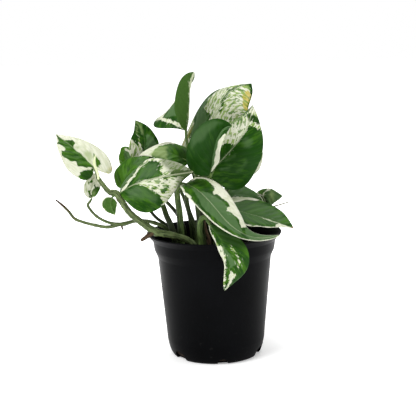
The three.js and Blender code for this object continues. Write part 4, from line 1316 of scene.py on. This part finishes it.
def soil_height(x, y):
    """The height of the soil's top, a low dome with lumps and finer crumbs."""
    swell = SOIL_SWELL * (1 - (x * x + y * y) / SOIL_DOME**2)
    lumps = 0.6 * (np.sin(0.41 * x + 1.3) * np.cos(0.37 * y) + np.sin(0.9 * x - 0.7 * y))
    fine = 0.35 * np.sin(2.1 * x + 1.7 * y) * np.sin(1.9 * y - 1.3 * x)
    finest = 0.25 * np.sin(3.7 * x) * np.sin(4.1 * y + 1)
    return SOIL_TOP + swell + lumps + (fine + finest)


def soil_body():
    """The soil's points and faces, which follow the pot's inside and its uneven top."""
    sides = [
        (BASE_RADIUS, SOIL_FLOOR), (FOOT_LOW_RADIUS, 3.6), (FOOT_HIGH_RADIUS, 8.3), (WALL_FOOT_RADIUS, 18),
        (WALL_TOP_RADIUS, 80.2),
    ]
    profile = [(0, SOIL_FLOOR), *((radius - SOIL_GAP, z) for radius, z in sides)]
    profile += [(float(radius), SOIL_TOP) for radius in np.linspace(SOIL_RADIUS, 1, SOIL_RINGS)]
    verts, faces = turn([*profile, (0, SOIL_TOP)], SOIL_SIDES)
    top = verts[:, 2] > SOIL_TOP - 0.01
    verts[top, 2] = soil_height(verts[top, 0], verts[top, 1])
    return verts, faces


def ball():
    """The points and faces of a ball with a radius of 1."""
    bm = bmesh.new()
    bmesh.ops.create_icosphere(bm, subdivisions=2, radius=1)
    points = np.array([v.co[:] for v in bm.verts])
    faces = [tuple(v.index for v in f.verts) for f in bm.faces]
    bm.free()
    return points, faces


def crumb(rng, round_points, kind):
    """The points of one crumb at a random place on the soil. Bark is in flat chips, the rest is rounder."""
    _, smallest, largest = CRUMBS[kind]
    r, a = CRUMB_REACH * math.sqrt(rng.uniform()), rng.uniform(0, 2 * math.pi)
    x, y = r * math.cos(a), r * math.sin(a)
    size = rng.uniform(smallest, largest)
    stretch = rng.uniform(*(CHIP if kind == "bark" else PEBBLE))
    roughness = 1 + rng.normal(0, CRUMB_ROUGHNESS, (len(round_points), 1))
    heading = Matrix.Rotation(rng.uniform(0, 6.3), 3, "Z")
    spin = heading @ Matrix.Rotation(rng.uniform(-0.5, 0.5), 3, "X")
    shape = round_points * roughness * stretch * size * 0.5
    return shape @ np.array(spin).T + [x, y, soil_height(x, y) + CRUMB_SEAT * size]


def make_soil():
    """The potting mix with bark, perlite and grit on it."""
    verts, faces = soil_body()
    points, slots = [verts], [0] * len(faces)
    rng = np.random.default_rng(SOIL_SEED)
    round_points, round_faces = ball()
    count = len(verts)
    for slot, (kind, (number, _, _)) in enumerate(CRUMBS.items(), 1):
        for _ in range(number):
            points.append(crumb(rng, round_points, kind))
            faces += shifted(round_faces, count)
            slots += [slot] * len(round_faces)
            count += len(round_points)
    materials = [
        soil_material(),
        speckled_material("bark_bits", BARK_BROWNS, 700.0, 0.85),
        speckled_material("perlite", PERLITE_WHITES, 1500.0, 0.9),
        speckled_material("gold_grit", GRIT_GOLDS, 1500.0, 0.6),
    ]
    soil = make_object("potting_soil", np.vstack(points) * MM, faces, materials, slots)
    declare(soil, "soil")


make_soil()


# Stage


def make_floor():
    """A white floor that catches the pot's soft shadow and glows evenly white further away."""
    s = Shader("studio_floor")
    place = s.place()
    color = s.mix(s.ramp(s.noise(place, 3.0), 0.3, 0.7), (0.90, 0.90, 0.90), (0.92, 0.92, 0.92))
    distance = s.node("VectorMath", {0: place}, operation="LENGTH").outputs["Value"]
    glow = s.ramp(distance, FLOOR_SHADOW_REACH, FLOOR_GLOW_REACH, *FLOOR_GLOW)
    material = s.finish(color, 0.9, 0.0, **{"Emission Color": (1, 1, 1), "Emission Strength": glow})
    square = ((-1, -1), (1, -1), (1, 1), (-1, 1))
    corners = [(x * FLOOR_REACH, y * FLOOR_REACH, FLOOR_LEVEL) for x, y in square]
    floor = make_object("studio_floor", corners, [(0, 1, 2, 3)], [material])


def add_light(name, place, size, energy):
    """A square soft light that faces the plant."""
    light = bpy.data.lights.new(name, "AREA")
    light.shape = "SQUARE"
    light.size = size
    light.energy = energy
    made = bpy.data.objects.new(name, light)
    made.location = place
    made.rotation_euler = (Vector(LIGHT_TARGET) - Vector(place)).to_track_quat("-Z", "Y").to_euler()
    bpy.context.scene.collection.objects.link(made)


def make_world():
    """Soft white light all round, seen as plain white behind the plant."""
    world = bpy.data.worlds.new("studio")
    bpy.context.scene.world = world
    world.use_nodes = True
    tree = world.node_tree
    tree.nodes.clear()
    output = tree.nodes.new("ShaderNodeOutputWorld")
    seen = tree.nodes.new("ShaderNodeLightPath")
    mix = tree.nodes.new("ShaderNodeMixShader")
    tree.links.new(seen.outputs["Is Camera Ray"], mix.inputs[0])
    for strength, socket in zip((AMBIENT, 1.0), mix.inputs[1:]):
        background = tree.nodes.new("ShaderNodeBackground")
        background.inputs[0].default_value = (1, 1, 1, 1)
        background.inputs[1].default_value = strength
        tree.links.new(background.outputs[0], socket)
    tree.links.new(mix.outputs[0], output.inputs[0])


def make_camera():
    """The camera at the photograph's viewing angle, from its yaw, pitch and roll."""
    (cos_yaw, sin_yaw), (cos_pitch, sin_pitch), (cos_roll, sin_roll) = (
        (math.cos(angle), math.sin(angle)) for angle in (CAMERA_YAW, CAMERA_PITCH, CAMERA_ROLL)
    )
    forward = Vector((sin_yaw * cos_pitch, cos_yaw * cos_pitch, -sin_pitch))
    right = Vector((cos_yaw, -sin_yaw, 0))
    up = right.cross(forward)
    axes = Matrix((cos_roll * right + sin_roll * up, cos_roll * up - sin_roll * right, -forward)).transposed()
    data = bpy.data.cameras.new("photo_camera")
    data.sensor_width = CAMERA_SENSOR
    data.lens = CAMERA_LENS
    data.clip_start = CAMERA_NEAR
    camera = bpy.data.objects.new("photo_camera", data)
    camera.matrix_world = Matrix.Translation(CAMERA_PLACE) @ axes.to_4x4()
    bpy.context.scene.collection.objects.link(camera)
    bpy.context.scene.camera = camera


make_floor()
make_world()
make_camera()
for light_name, (light_place, light_size, light_power) in LIGHTS.items():
    add_light(light_name, light_place, light_size, light_power)
bpy.context.scene.view_settings.view_transform = "Standard"
